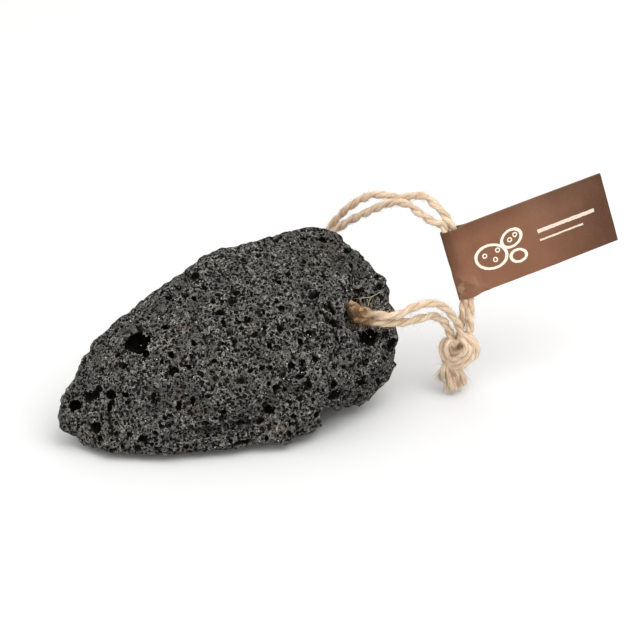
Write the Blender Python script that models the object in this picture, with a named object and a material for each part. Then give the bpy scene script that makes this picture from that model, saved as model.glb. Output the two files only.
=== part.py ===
"""A pumice stone with a drilled end, a doubled twine tied through it, and a folded card tag.

Metres, +Z up. The stone lies on its flat underside at z = 0, with its narrow tip at -X and its
drilled end at +X. The origin is on the floor below the middle of the stone's own box.
"""
import math

import bmesh
import bpy
import numpy as np
from mathutils import Euler, Matrix, Vector

# The stone's corners, from the tip round to the drilled end, before its edges are worn round.
STONE_CORNERS = {
    "tip_high": (-0.0540, -0.0038, 0.0155),
    "tip_low": (-0.0537, -0.0020, 0.0050),
    "toe_left": (-0.0445, -0.0115, -0.0010),
    "toe_front": (-0.0335, -0.0195, -0.0010),
    "belly": (-0.0140, -0.0250, 0.0010),
    "belly_right": (0.0095, -0.0282, 0.0030),
    "heel": (0.0185, -0.0290, 0.0036),
    "face_left_high": (-0.0290, -0.0020, 0.0295),
    "face_left": (-0.0300, -0.0115, 0.0230),
    "face_left_low": (-0.0310, -0.0180, 0.0110),
    "face_middle_high": (-0.0020, 0.0030, 0.0405),
    "face_middle": (-0.0040, -0.0118, 0.0330),
    "face_middle_low": (-0.0060, -0.0220, 0.0185),
    "face_right_high": (0.0270, 0.0050, 0.0452),
    "ridge_high": (0.0300, -0.0098, 0.0378),
    "ridge_middle": (0.0255, -0.0212, 0.0280),
    "ridge_low": (0.0225, -0.0285, 0.0145),
    "lobe_under": (0.0360, -0.0180, 0.0030),
    "lobe_low": (0.0441, -0.0165, 0.0070),
    "lobe_right": (0.0490, -0.0155, 0.0127),
    "end_front": (0.0535, -0.0095, 0.0217),
    "end_shoulder": (0.0540, 0.0022, 0.0320),
    "end_rear": (0.0520, 0.0090, 0.0180),
    "end_low": (0.0460, 0.0070, 0.0045),
    "slope": (0.0487, 0.0108, 0.0412),
    "crest_right": (0.0425, 0.0183, 0.0463),
    "crest": (0.0365, 0.0208, 0.0490),
    "crest_middle": (0.0240, 0.0188, 0.0485),
    "crest_left": (0.0020, 0.0207, 0.0451),
    "flank": (-0.0176, 0.0140, 0.0379),
    "flank_low": (-0.0302, 0.0120, 0.0317),
    "tip_flank": (-0.0384, 0.0110, 0.0254),
    "tip_shoulder": (-0.0440, 0.0075, 0.0204),
    "tip_rear": (-0.0455, 0.0060, 0.0090),
    "rear_flank": (-0.0270, 0.0180, 0.0190),
    "rear_flank_low": (-0.0290, 0.0140, 0.0030),
    "rear_middle": (0.0000, 0.0290, 0.0250),
    "rear_crest": (0.0200, 0.0290, 0.0375),
    "rear_right": (0.0340, 0.0290, 0.0220),
    "rear_foot": (0.0200, 0.0240, -0.0010),
    "rear_foot_left": (-0.0080, 0.0210, -0.0010),
}

# Hollows worn or broken into the block: centre, half sizes along the hollow's own axes, and its
# turn about X, Y and Z in degrees.
HOLLOWS = {
    "notch_under_end": ((0.0345, -0.0275, 0.0020), (0.0135, 0.0100, 0.0095), (0, -20, 15)),
    "recess_at_hole": ((0.0452, -0.0115, 0.0368), (0.0105, 0.0050, 0.0046), (0, 0, 32)),
    "groove_above_lip": ((0.0000, -0.0252, 0.0125), (0.0200, 0.0022, 0.0026), (0, -23, -4)),
    "large_pit": ((-0.0293, 0.0000, 0.0280), (0.0033, 0.0022, 0.0032), (0, -20, 0)),
    "tip_pit": ((-0.0485, -0.0068, 0.0148), (0.0026, 0.0026, 0.0026), (0, 0, 0)),
    "end_pit": ((0.0410, -0.0165, 0.0262), (0.0028, 0.0032, 0.0020), (0, 0, 0)),
    "crest_pit": ((0.0360, 0.0140, 0.0460), (0.0016, 0.0015, 0.0022), (0, 0, 0)),
}

# The grain that the faces are evened out to, how often their edges are worn, the low lumps of the
# rough faces, and the share of the faces that is kept.
BLOCK_VOXEL = 0.0016
BLOCK_WEAR = 14
FACE_VOXEL = 0.0013
FACE_WEAR = 4
LUMP_SIZE = 0.009
LUMP_HEIGHT = 0.0022
STONE_DETAIL = 0.22
BALL_ROUNDNESS = 4
FLOOR_CUTTER = (0.200, 0.120, 0.020)

# The drilled hole runs from the front of the end to the back.
HOLE_FRONT = (0.0362, -0.0180, 0.0312)
HOLE_REAR = (0.0407, 0.0360, 0.0345)
HOLE_DIAMETER = 0.0064
HOLE_SIDES = 24

# Two runs of one twine: each leaves the knot, goes through the hole from front to back, over the
# top, down inside the tag's fold and back to the knot.
TWINE_DIAMETER = 0.0020
TWINE_STEP = 0.0048
CURVE_STEPS = 12
ROUTE_FIRST = [
    (0.0711, -0.0131, 0.0177), (0.0704, -0.0134, 0.0223), (0.0684, -0.0136, 0.0264),
    (0.0659, -0.0137, 0.0300), (0.0624, -0.0139, 0.0326), (0.0585, -0.0140, 0.0333),
    (0.0543, -0.0141, 0.0326), (0.0500, -0.0145, 0.0314), (0.0456, -0.0144, 0.0318),
    (0.0412, -0.0142, 0.0331), (0.0379, -0.0122, 0.0337), (0.0369, -0.0060, 0.0331),
    (0.0365, 0.0010, 0.0331), (0.0372, 0.0080, 0.0327), (0.0386, 0.0150, 0.0324),
    (0.0398, 0.0220, 0.0324), (0.0403, 0.0275, 0.0329), (0.0410, 0.0312, 0.0338),
    (0.0424, 0.0331, 0.0362), (0.0447, 0.0325, 0.0402), (0.0471, 0.0301, 0.0450),
    (0.0491, 0.0268, 0.0491), (0.0513, 0.0238, 0.0523), (0.0535, 0.0208, 0.0547),
    (0.0559, 0.0181, 0.0558), (0.0583, 0.0154, 0.0559), (0.0606, 0.0125, 0.0563),
    (0.0627, 0.0094, 0.0580), (0.0648, 0.0061, 0.0594), (0.0664, 0.0025, 0.0589),
    (0.0680, -0.0012, 0.0572), (0.0698, -0.0035, 0.0546), (0.0708, -0.0046, 0.0515),
    (0.0730, -0.0069, 0.0417), (0.0752, -0.0092, 0.0322), (0.0749, -0.0104, 0.0284),
    (0.0745, -0.0113, 0.0247), (0.0742, -0.0120, 0.0213), (0.0736, -0.0123, 0.0178),
]
ROUTE_SECOND = [
    (0.0688, -0.0118, 0.0173), (0.0676, -0.0121, 0.0209), (0.0661, -0.0126, 0.0241),
    (0.0640, -0.0130, 0.0268), (0.0611, -0.0132, 0.0283), (0.0578, -0.0135, 0.0284),
    (0.0543, -0.0136, 0.0281), (0.0500, -0.0136, 0.0282), (0.0457, -0.0138, 0.0290),
    (0.0416, -0.0140, 0.0304), (0.0381, -0.0124, 0.0312), (0.0377, -0.0060, 0.0307),
    (0.0388, 0.0010, 0.0317), (0.0397, 0.0080, 0.0329), (0.0400, 0.0150, 0.0343),
    (0.0398, 0.0220, 0.0350), (0.0402, 0.0266, 0.0354), (0.0414, 0.0294, 0.0364),
    (0.0433, 0.0303, 0.0381), (0.0455, 0.0292, 0.0406), (0.0479, 0.0270, 0.0435),
    (0.0501, 0.0243, 0.0462), (0.0522, 0.0212, 0.0488), (0.0543, 0.0181, 0.0514),
    (0.0565, 0.0150, 0.0538), (0.0582, 0.0122, 0.0553), (0.0597, 0.0096, 0.0562),
    (0.0612, 0.0070, 0.0563), (0.0628, 0.0041, 0.0552), (0.0646, 0.0013, 0.0541),
    (0.0661, -0.0019, 0.0536), (0.0679, -0.0036, 0.0533), (0.0685, -0.0045, 0.0512),
    (0.0708, -0.0069, 0.0412), (0.0730, -0.0093, 0.0317), (0.0729, -0.0097, 0.0282),
    (0.0725, -0.0099, 0.0247), (0.0722, -0.0102, 0.0213), (0.0714, -0.0102, 0.0177),
]

# The knot is a tilted egg, with lumps as waves along its own axes.
KNOT_CENTRE = (0.0708, -0.0121, 0.0126)
KNOT_HALF_SIZES = (0.0056, 0.0043, 0.0047)
KNOT_TILT = 25
KNOT_ROUNDNESS = 3
KNOT_LUMP = 0.06
KNOT_WAVES = (4.0, 3.0, 5.0)
KNOT_PHASE = 1.0
TAILS = {
    "tail_left": [(0.0674, -0.0111, 0.0076), (0.0667, -0.0105, 0.0053), (0.0663, -0.0101, 0.0033)],
    "tail_middle": [(0.0699, -0.0121, 0.0073), (0.0692, -0.0123, 0.0037), (0.0684, -0.0124, 0.0006)],
    "tail_right": [(0.0725, -0.0127, 0.0074), (0.0727, -0.0128, 0.0049), (0.0726, -0.0128, 0.0028)],
}

# The tag's fold starts at its upper corner and runs down along TAG_FOLD; both leaves run along
# TAG_LONG. The bulge round the two strands is the widest part of the section.
TAG_CORNER = (0.0667, -0.0044, 0.0512)
TAG_LONG = (0.975, 0.011, 0.222)
TAG_FOLD = (0.2236, -0.2319, -0.9467)
TAG_LENGTH = 0.0539
TAG_HEIGHT = 0.0222
CARD = 0.00028
LEAF_GAP = 0.00030
BULGE_HALF = 0.00140
BULGE_END = 0.0052
BULGE_BLEND = 0.0086
FOLD_TURNS = range(0, 91, 15)
BLEND_PARTS = (0.0, 0.25, 0.5, 0.75, 1.0)


def remove_everything():
    """Clear the scene that the script starts in."""
    for old in list(bpy.data.objects):
        bpy.data.objects.remove(old, do_unlink=True)


def link(name, mesh):
    """Put a mesh into the scene as a named object."""
    piece = bpy.data.objects.new(name, mesh)
    bpy.context.scene.collection.objects.link(piece)
    return piece


def mesh_from(shape, name):
    """A mesh from a finished bmesh."""
    mesh = bpy.data.meshes.new(name)
    shape.to_mesh(mesh)
    shape.free()
    return mesh


def guide(name, mesh):
    """A cutter, which shapes another piece and isn't one itself."""
    cutter = link(name, mesh)
    cutter.hide_render = True
    cutter.display_type = "WIRE"
    return cutter


def hull_mesh(name, corners):
    """The convex block through the given corners."""
    block = bmesh.new()
    for corner in corners:
        block.verts.new(corner)
    bmesh.ops.convex_hull(block, input=block.verts)
    loose = [vert for vert in block.verts if not vert.link_faces]
    bmesh.ops.delete(block, geom=loose, context="VERTS")
    return mesh_from(block, name)


def ellipsoid_cutter(name, centre, half_sizes, turn):
    """A guide the shape of one hollow."""
    ball = bmesh.new()
    turned = Euler([math.radians(angle) for angle in turn]).to_matrix().to_4x4()
    place = Matrix.Translation(centre) @ turned @ Matrix.Diagonal((*half_sizes, 1))
    bmesh.ops.create_icosphere(ball, subdivisions=BALL_ROUNDNESS, radius=1.0, matrix=place)
    return guide(name, mesh_from(ball, name))


def voxel_and_wear(piece, voxel, steps):
    """Even out a piece's faces, then round its edges."""
    grain = piece.modifiers.new("grain", "REMESH")
    grain.mode = "VOXEL"
    grain.voxel_size = voxel
    wear = piece.modifiers.new("wear", "SMOOTH")
    wear.factor = 0.5
    wear.iterations = steps


def subtract(piece, cutter):
    """Cut a guide's shape out of a piece."""
    cut = piece.modifiers.new(cutter.name, "BOOLEAN")
    cut.operation = "DIFFERENCE"
    cut.object = cutter


def settle(piece):
    """Make a piece's mesh final, with the middle of its box over the origin."""
    graph = bpy.context.evaluated_depsgraph_get()
    mesh = bpy.data.meshes.new_from_object(piece.evaluated_get(graph))
    spots = np.empty(len(mesh.vertices) * 3, dtype=np.float32)
    mesh.vertices.foreach_get("co", spots)
    spots = spots.reshape(-1, 3)
    middle = (spots.min(axis=0) + spots.max(axis=0)) / 2
    spots[:, :2] -= middle[:2]
    mesh.vertices.foreach_set("co", spots.ravel())
    mesh.shade_smooth()
    piece.modifiers.clear()
    piece.data = mesh


def floor_cutter():
    """A slab under the floor, whose top is the resting face."""
    slab = bmesh.new()
    place = Matrix.Translation((0, 0, -FLOOR_CUTTER[2] / 2)) @ Matrix.Diagonal((*FLOOR_CUTTER, 1))
    bmesh.ops.create_cube(slab, size=1.0, matrix=place)
    return guide("floor", mesh_from(slab, "floor"))


def drill(front, rear, diameter):
    """A rod from front to rear, as wide as the hole."""
    along = Vector(rear) - Vector(front)
    middle = (Vector(rear) + Vector(front)) / 2
    place = Matrix.Translation(middle) @ along.to_track_quat("Z", "Y").to_matrix().to_4x4()
    rod = bmesh.new()
    bmesh.ops.create_cone(rod, cap_ends=True, segments=HOLE_SIDES, radius1=diameter / 2,
                          radius2=diameter / 2, depth=along.length, matrix=place)
    return guide("drill", mesh_from(rod, "drill"))


def make_stone():
    """One natural stone: a worn block with hollows, a flat underside and a drilled hole."""
    stone = link("stone", hull_mesh("stone", STONE_CORNERS.values()))
    voxel_and_wear(stone, BLOCK_VOXEL, BLOCK_WEAR)
    for hollow, (centre, half_sizes, turn) in HOLLOWS.items():
        subtract(stone, ellipsoid_cutter(hollow, centre, half_sizes, turn))
    voxel_and_wear(stone, FACE_VOXEL, FACE_WEAR)
    clouds = bpy.data.textures.new("lumps", "CLOUDS")
    clouds.noise_scale = LUMP_SIZE
    lumps = stone.modifiers.new("lumps", "DISPLACE")
    lumps.texture = clouds
    lumps.texture_coords = "LOCAL"
    lumps.strength = LUMP_HEIGHT
    fewer = stone.modifiers.new("fewer_faces", "DECIMATE")
    fewer.ratio = STONE_DETAIL
    settle(stone)
    subtract(stone, floor_cutter())
    subtract(stone, drill(HOLE_FRONT, HOLE_REAR, HOLE_DIAMETER))
    return stone


def smooth_route(points, step):
    """Points at even steps along a Catmull-Rom curve through the route's own points."""
    route = np.array(points)
    ends = (2 * route[:1] - route[1:2], route, 2 * route[-1:] - route[-2:-1])
    knots = np.concatenate(ends)
    fine = []
    for before, start, end, after in zip(knots, knots[1:], knots[2:], knots[3:]):
        for part in np.linspace(0, 1, CURVE_STEPS, endpoint=False):
            fine.append(0.5 * (2 * start + (end - before) * part
                               + (2 * before - 5 * start + 4 * end - after) * part ** 2
                               + (3 * start - before - 3 * end + after) * part ** 3))
    fine = np.array(fine + [knots[-2]])
    reach = np.concatenate([[0], np.cumsum(np.linalg.norm(np.diff(fine, axis=0), axis=1))])
    marks = np.linspace(0, reach[-1], max(2, round(reach[-1] / step)) + 1)
    return np.stack([np.interp(marks, reach, fine[:, axis]) for axis in range(3)], axis=1)


def twine_tube(name, points, step):
    """A plain round tube along a route."""
    curve = bpy.data.curves.new(name, "CURVE")
    curve.dimensions = "3D"
    curve.bevel_depth = TWINE_DIAMETER / 2
    curve.bevel_resolution = 2
    curve.use_fill_caps = True
    route = smooth_route(points, step)
    line = curve.splines.new("POLY")
    line.points.add(len(route) - 1)
    for spot, place in zip(line.points, route):
        spot.co = (*place, 1.0)
    return link(name, curve)


def make_knot():
    """The knot's own outer shape: a lumpy egg, tilted, under the four strands."""
    ball = bmesh.new()
    bmesh.ops.create_icosphere(ball, subdivisions=KNOT_ROUNDNESS, radius=1.0)
    for vert in ball.verts:
        along, across, up = (wave * place for wave, place in zip(KNOT_WAVES, vert.co))
        vert.co *= 1 + KNOT_LUMP * math.sin(along + KNOT_PHASE) * math.cos(across) * math.sin(up)
    turned = Matrix.Rotation(math.radians(-KNOT_TILT), 4, "Y")
    place = Matrix.Translation(KNOT_CENTRE) @ turned @ Matrix.Diagonal((*KNOT_HALF_SIZES, 1))
    bmesh.ops.transform(ball, matrix=place, verts=ball.verts)
    mesh = mesh_from(ball, "knot")
    mesh.shade_smooth()
    return link("knot", mesh)


def tag_outline():
    """One leaf's outer and inner face, as how far along and how far from the tag's middle plane."""
    round_part = [math.radians(angle) for angle in FOLD_TURNS]
    outer_half = BULGE_HALF + CARD
    outer = [(outer_half * (1 - math.cos(turn)), outer_half * math.sin(turn)) for turn in round_part]
    inner = [(outer_half - BULGE_HALF * math.cos(turn), BULGE_HALF * math.sin(turn))
             for turn in round_part]
    flat = LEAF_GAP / 2
    for part in BLEND_PARTS:
        along = BULGE_END + part * (BULGE_BLEND - BULGE_END)
        ease = (1 + math.cos(math.pi * part)) / 2
        half = flat + (BULGE_HALF - flat) * ease
        outer.append((along, half + CARD))
        inner.append((along, half))
    outer.append((TAG_LENGTH, flat + CARD))
    inner.append((TAG_LENGTH, flat))
    return outer, inner


def make_tag():
    """One strip of card, folded once over both strands."""
    outer, inner = tag_outline()
    section = outer[::-1] + [(along, -half) for along, half in outer[1:]]
    section += [(along, -half) for along, half in inner[::-1]] + inner[1:]
    long = Vector(TAG_LONG).normalized()
    fold = Vector(TAG_FOLD)
    fold = (fold - long * fold.dot(long)).normalized()
    front = fold.cross(long)
    card = bmesh.new()
    corner = Vector(TAG_CORNER)
    face = card.faces.new([card.verts.new(corner + long * along + front * half)
                           for along, half in section])
    sweep = bmesh.ops.extrude_face_region(card, geom=[face])
    moved = [item for item in sweep["geom"] if isinstance(item, bmesh.types.BMVert)]
    bmesh.ops.translate(card, vec=fold * TAG_HEIGHT, verts=moved)
    bmesh.ops.recalc_face_normals(card, faces=card.faces)
    bmesh.ops.triangulate(card, faces=card.faces)
    return link("tag", mesh_from(card, "tag"))


def finish(name, colour, roughness):
    """A plain material in a piece's own colour."""
    material = bpy.data.materials.new(name)
    material.use_nodes = True
    shader = material.node_tree.nodes["Principled BSDF"]
    shader.inputs["Base Color"].default_value = (*colour, 1.0)
    shader.inputs["Roughness"].default_value = roughness
    shader.inputs["Metallic"].default_value = 0.0
    return material


def lava():
    """Dark, dull volcanic glass."""
    return finish("lava", (0.060, 0.058, 0.055), 0.95)


def jute():
    """Dry, pale plant fibre."""
    return finish("jute", (0.620, 0.450, 0.290), 0.90)


def kraft_card():
    """Card printed brown."""
    return finish("card", (0.260, 0.130, 0.085), 0.60)


remove_everything()
make_stone().data.materials.append(lava())
fibre = jute()
twine_tube("twine_first", ROUTE_FIRST, TWINE_STEP).data.materials.append(fibre)
twine_tube("twine_second", ROUTE_SECOND, TWINE_STEP).data.materials.append(fibre)
make_knot().data.materials.append(fibre)
for tail, tail_route in TAILS.items():
    twine_tube(tail, tail_route, TWINE_DIAMETER).data.materials.append(fibre)
make_tag().data.materials.append(kraft_card())
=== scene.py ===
"""The finish of a pumice stone on a knotted jute twine loop with a folded card tag.

Metres, +Z up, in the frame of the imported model: the stone lies on its flat underside at z = 0,
with its narrow tip at -X and its drilled end at +X.
"""
import math

import bpy
import numpy as np
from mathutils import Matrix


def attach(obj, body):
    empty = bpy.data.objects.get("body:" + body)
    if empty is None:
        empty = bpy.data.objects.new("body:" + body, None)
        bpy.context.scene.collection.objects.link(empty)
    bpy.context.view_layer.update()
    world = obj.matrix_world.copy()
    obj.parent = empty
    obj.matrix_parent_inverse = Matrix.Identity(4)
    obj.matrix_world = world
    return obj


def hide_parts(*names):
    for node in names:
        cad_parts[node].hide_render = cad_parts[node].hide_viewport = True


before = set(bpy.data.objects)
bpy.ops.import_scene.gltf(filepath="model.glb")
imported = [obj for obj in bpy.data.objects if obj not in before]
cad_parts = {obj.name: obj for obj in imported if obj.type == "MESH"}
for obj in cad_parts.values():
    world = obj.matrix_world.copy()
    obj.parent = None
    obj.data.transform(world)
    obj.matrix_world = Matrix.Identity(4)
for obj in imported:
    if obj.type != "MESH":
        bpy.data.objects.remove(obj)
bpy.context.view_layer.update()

import openvdb
from mathutils import Vector


# ---------------------------------------------------------------------------------------------
# The view: one long lens, from the front, a little to the left of the stone and well above it.
# It is a plain camera with no blur, aimed at the air above the stone's drilled end.
LENS = 140.6
SENSOR = 36.0
AIM = Vector((0.02687, -0.00863, 0.03060))
VIEW_TURN = math.radians(-19.0)
VIEW_RISE = math.radians(28.0)
VIEW_DISTANCE = 0.750
NEAREST_SEEN = 0.05
FARTHEST_SEEN = 20.0

camera = bpy.data.objects.new("camera", bpy.data.cameras.new("camera"))
camera.data.lens = LENS
camera.data.sensor_width = SENSOR
camera.data.clip_start = NEAREST_SEEN
camera.data.clip_end = FARTHEST_SEEN
to_camera = Vector((math.sin(VIEW_TURN) * math.cos(VIEW_RISE),
                    -math.cos(VIEW_TURN) * math.cos(VIEW_RISE),
                    math.sin(VIEW_RISE)))
camera.location = AIM + to_camera * VIEW_DISTANCE
camera.rotation_mode = "QUATERNION"
camera.rotation_quaternion = (-to_camera).to_track_quat("-Z", "Y")
bpy.context.scene.collection.objects.link(camera)
bpy.context.scene.camera = camera


# ---------------------------------------------------------------------------------------------
# The stone is one lump of vesicular lava, broken off, tumbled and worn: dull dark glass full of
# gas bubbles. The bubbles near its skin have been cut open, so it is pitted all over, also on the
# flat underside that it lies on.
GRAIN = 0.00027
SKIN_DEPTH = 8.0
MARGIN = 6
WELD_SCALE = 1e7
STONE_TRIANGLES = 196000
MM = 1000
# Its lumps, from wide to fine: how far apart, how high, and the seed of each field of noise.
LUMPS = [(0.0056, 0.00090, 11), (0.0027, 0.00070, 12), (0.0014, 0.00065, 13),
         (0.0008, 0.00020, 14)]
NOISE_SWING = 1.7
WARP_CELL = 0.0013
WARP_REACH = 0.00030
WARP_SEEDS = (31, 32, 33)
# The large bubbles by name: the place where each opens, and its half sizes.
BIG_BUBBLES = {
    "eye": ((-0.0270, -0.0010, 0.0275), (0.0050, 0.0044, 0.0040)),
    "tip_front": ((-0.0484, -0.0052, 0.0132), (0.0021, 0.0020, 0.0021)),
    "tip_upper": ((-0.0449, -0.0072, 0.0167), (0.0020, 0.0017, 0.0014)),
    "tip_lower": ((-0.0437, -0.0112, 0.0083), (0.0018, 0.0016, 0.0018)),
    "tip_side": ((-0.0416, -0.0077, 0.0189), (0.0012, 0.0012, 0.0012)),
    "toe": ((-0.0386, -0.0148, 0.0038), (0.0018, 0.0015, 0.0012)),
    "flank_top": ((-0.0059, 0.0119, 0.0403), (0.0017, 0.0013, 0.0014)),
    "crest": ((0.0352, 0.0133, 0.0452), (0.0016, 0.0014, 0.0016)),
    "ridge_slot": ((0.0302, -0.0118, 0.0357), (0.0013, 0.0017, 0.0026)),
    "end_left": ((0.0405, -0.0138, 0.0248), (0.0040, 0.0034, 0.0025)),
    "end_right": ((0.0482, -0.0122, 0.0214), (0.0023, 0.0024, 0.0019)),
    "end_low": ((0.0366, -0.0205, 0.0143), (0.0015, 0.0014, 0.0014)),
    "end_foot": ((0.0252, -0.0265, 0.0142), (0.0026, 0.0016, 0.0016)),
    "end_foot_right": ((0.0292, -0.0252, 0.0123), (0.0018, 0.0013, 0.0012)),
    "over_mouth": ((0.0408, -0.0042, 0.0355), (0.0022, 0.0017, 0.0013)),
    "ridge_low": ((0.0295, -0.0148, 0.0326), (0.0013, 0.0013, 0.0018)),
    "ridge_foot": ((0.0263, -0.0231, 0.0225), (0.0013, 0.0012, 0.0013)),
    "face_end": ((0.0208, -0.0171, 0.0315), (0.0014, 0.0013, 0.0013)),
    "belly_end": ((0.0170, -0.0255, 0.0190), (0.0018, 0.0013, 0.0015)),
    "face_top": ((-0.0031, -0.0051, 0.0358), (0.0014, 0.0014, 0.0014)),
    "face_high": ((0.0036, 0.0005, 0.0391), (0.0012, 0.0012, 0.0012)),
    "flank_left": ((-0.0108, 0.0055, 0.0374), (0.0012, 0.0012, 0.0011)),
    "face_middle": ((0.0128, -0.0135, 0.0328), (0.0013, 0.0012, 0.0012)),
    "face_right": ((0.0207, -0.0168, 0.0307), (0.0010, 0.0010, 0.0010)),
    "face_left": ((-0.0204, -0.0133, 0.0242), (0.0014, 0.0012, 0.0012)),
    "face_pair_left": ((0.0047, -0.0203, 0.0241), (0.0010, 0.0011, 0.0010)),
    "face_pair_right": ((0.0071, -0.0206, 0.0239), (0.0010, 0.0011, 0.0010)),
    "belly_left": ((0.0064, -0.0250, 0.0120), (0.0013, 0.0012, 0.0013)),
    "belly_right": ((0.0110, -0.0255, 0.0152), (0.0012, 0.0012, 0.0013)),
    "face_low": ((-0.0206, -0.0189, 0.0148), (0.0010, 0.0010, 0.0010)),
    "shallow_dish": ((0.0096, 0.0113, 0.0440), (0.0013, 0.0013, 0.0010)),
    "crescent_high": ((0.0052, -0.0134, 0.0319), (0.0021, 0.0009, 0.0009)),
    "crescent_low": ((0.0154, -0.0236, 0.0214), (0.0016, 0.0009, 0.0008)),
    "lip": ((0.0140, -0.0258, 0.0169), (0.0013, 0.0012, 0.0012)),
    "groove_left": ((-0.0138, -0.0228, 0.0102), (0.0019, 0.0012, 0.0010)),
    "groove_middle": ((-0.0036, -0.0243, 0.0086), (0.0016, 0.0012, 0.0009)),
    "belly_dark": ((-0.0042, -0.0263, 0.0047), (0.0034, 0.0013, 0.0011)),
    "crest_notch": ((0.0422, 0.0112, 0.0434), (0.0014, 0.0016, 0.0011)),
}
# Troughs worn between its lobes: the points each runs through, the half width of the round
# tool that would cut it, and how deep.
TROUGHS = [
    ([(0.0392, 0.0120, 0.0448), (0.0358, 0.0009, 0.0420), (0.0336, -0.0064, 0.0391),
      (0.0318, -0.0122, 0.0354), (0.0302, -0.0166, 0.0315), (0.0290, -0.0203, 0.0278)],
     0.0030, 0.0007),
    ([(-0.0240, -0.0222, 0.0066), (-0.0199, -0.0229, 0.0074), (-0.0126, -0.0243, 0.0081),
      (-0.0037, -0.0252, 0.0089), (0.0022, -0.0246, 0.0119), (0.0060, -0.0246, 0.0152),
      (0.0104, -0.0253, 0.0172), (0.0148, -0.0262, 0.0185)], 0.0019, 0.0024),
]
# Where pieces have broken off its lower edge: from, to and half width of each break.
BREAKS = [
    ((0.0226, -0.0290, 0.0090), (0.0278, -0.0140, 0.0004), 0.0029),
    ((0.0232, -0.0306, 0.0066), (0.0284, -0.0156, -0.0020), 0.0032),
    ((0.0293, -0.0260, 0.0072), (0.0327, -0.0160, 0.0016), 0.0022),
    ((0.0338, -0.0192, 0.0030), (0.0352, -0.0150, 0.0008), 0.0016),
    ((0.0258, -0.0280, 0.0070), (0.0303, -0.0150, 0.0002), 0.0022),
    ((0.0330, -0.0245, 0.0066), (0.0358, -0.0145, 0.0006), 0.0020),
]
# The lip that stands out along its front foot, how far, and the hollow under it.
LIP_ALONG = [(-0.0435, -0.0121, 0.0036), (-0.0395, -0.0150, 0.0036), (-0.0350, -0.0178, 0.0038),
             (-0.0300, -0.0202, 0.0040), (-0.0250, -0.0220, 0.0044), (-0.0200, -0.0232, 0.0048),
             (-0.0150, -0.0246, 0.0050), (-0.0100, -0.0257, 0.0052), (-0.0050, -0.0262, 0.0054)]
LIP_REACH = 0.0042
LIP_HEIGHT = 0.0026
HOLLOW_ALONG = [(-0.0440, -0.0152, 0.0), (-0.0360, -0.0210, 0.0), (-0.0215, -0.0262, 0.0),
                (-0.0055, -0.0290, 0.0), (0.0090, -0.0280, 0.0), (0.0200, -0.0262, 0.0)]
HOLLOW_HALF = (0.0085, 0.0085, 0.0024)
SWELL_FALL = 1.5
# Where it swells out or falls in: the middle of each place, its reach and its height.
SWELLS = {
    "end_shoulder": ((0.0490, 0.0012, 0.0334), 0.0048, 0.0035),
    "end_front": ((0.0490, -0.0110, 0.0228), 0.0040, 0.0024),
    "crest_hump": ((0.0444, 0.0092, 0.0416), 0.0018, 0.0015),
    "crest_step": ((0.0474, 0.0054, 0.0377), 0.0020, 0.0012),
    "crest_cut": ((0.0454, 0.0070, 0.0401), 0.0016, -0.0011),
    "crest_dip": ((0.0411, 0.0112, 0.0434), 0.0026, -0.0019),
    "crest_flat": ((0.0318, 0.0164, 0.0480), 0.0044, -0.0014),
    "crest_left": ((0.0225, 0.0160, 0.0475), 0.0070, -0.0017),
    "ridge_hump": ((0.0128, 0.0163, 0.0459), 0.0030, 0.0020),
    "ridge_left": ((0.0068, 0.0172, 0.0454), 0.0020, 0.0014),
    "ridge_step": ((-0.0062, 0.0155, 0.0408), 0.0032, 0.0024),
    "flank_dip": ((-0.0218, 0.0105, 0.0353), 0.0042, -0.0019),
    "flank_hump": ((-0.0298, 0.0088, 0.0314), 0.0024, 0.0014),
    "flank_cut": ((-0.0324, 0.0083, 0.0297), 0.0014, -0.0008),
    "flank_low": ((-0.0384, 0.0061, 0.0259), 0.0024, 0.0007),
    "tip_waist": ((-0.0446, 0.0006, 0.0218), 0.0050, -0.0034),
    "tip_chin": ((-0.0516, -0.0058, 0.0068), 0.0030, 0.0010),
    "toe_lip": ((-0.0395, -0.0150, 0.0020), 0.0050, 0.0010),
    "toe_right": ((-0.0285, -0.0209, 0.0021), 0.0026, -0.0010),
    "belly_left": ((0.0010, -0.0275, 0.0052), 0.0050, 0.0012),
    "belly_right": ((0.0105, -0.0285, 0.0060), 0.0060, 0.0018),
    "heel": ((0.0205, -0.0288, 0.0095), 0.0030, -0.0022),
    "heel_corner": ((0.0218, -0.0270, 0.0030), 0.0026, -0.0030),
    "end_under": ((0.0350, -0.0201, 0.0080), 0.0036, -0.0013),
    "end_corner": ((0.0415, -0.0188, 0.0136), 0.0024, -0.0028),
}
# Fields of bubbles, widest first: their spacing, their radius from and to, and their seed.
BUBBLES = [
    (0.0050, 0.00080, 0.00145, 21),
    (0.0025, 0.00055, 0.00098, 22),
    (0.0018, 0.00045, 0.00065, 23),
]
BUBBLE_STRETCH = (0.65, 1.40)
MOSTLY_SMALL = 1.6
# Where a bubble's centre may lie, in its own radii: under the skin is minus.
DEEPEST_CENTRE = -0.88
HIGHEST_CENTRE = 0.30
BIG_CENTRE = -0.30
LAVA = (0.0652, 0.0635, 0.0583)
LAVA_DARK = (0.0524, 0.0511, 0.0470)
# A pale for the thin walls, pale specks and the painted highlight on edges and lips; a near black
# for the painted shade in pits, hollows and pores and for dark specks.
LAVA_PALE_AND_HIGHLIGHT = (0.470, 0.456, 0.411)
LAVA_SHADE_AND_SPECK = (0.0035, 0.0032, 0.0028)
LAVA_RUST = (0.126, 0.075, 0.060)
LAVA_OLIVE = (0.088, 0.091, 0.058)
LAVA_CRYSTAL = (0.80, 0.78, 0.72)
SHARP_EDGE = math.radians(32)


def unit(vector):
    """A vector, or each of a grid of them, made one long."""
    return vector / np.linalg.norm(vector, axis=-1, keepdims=True)


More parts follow.
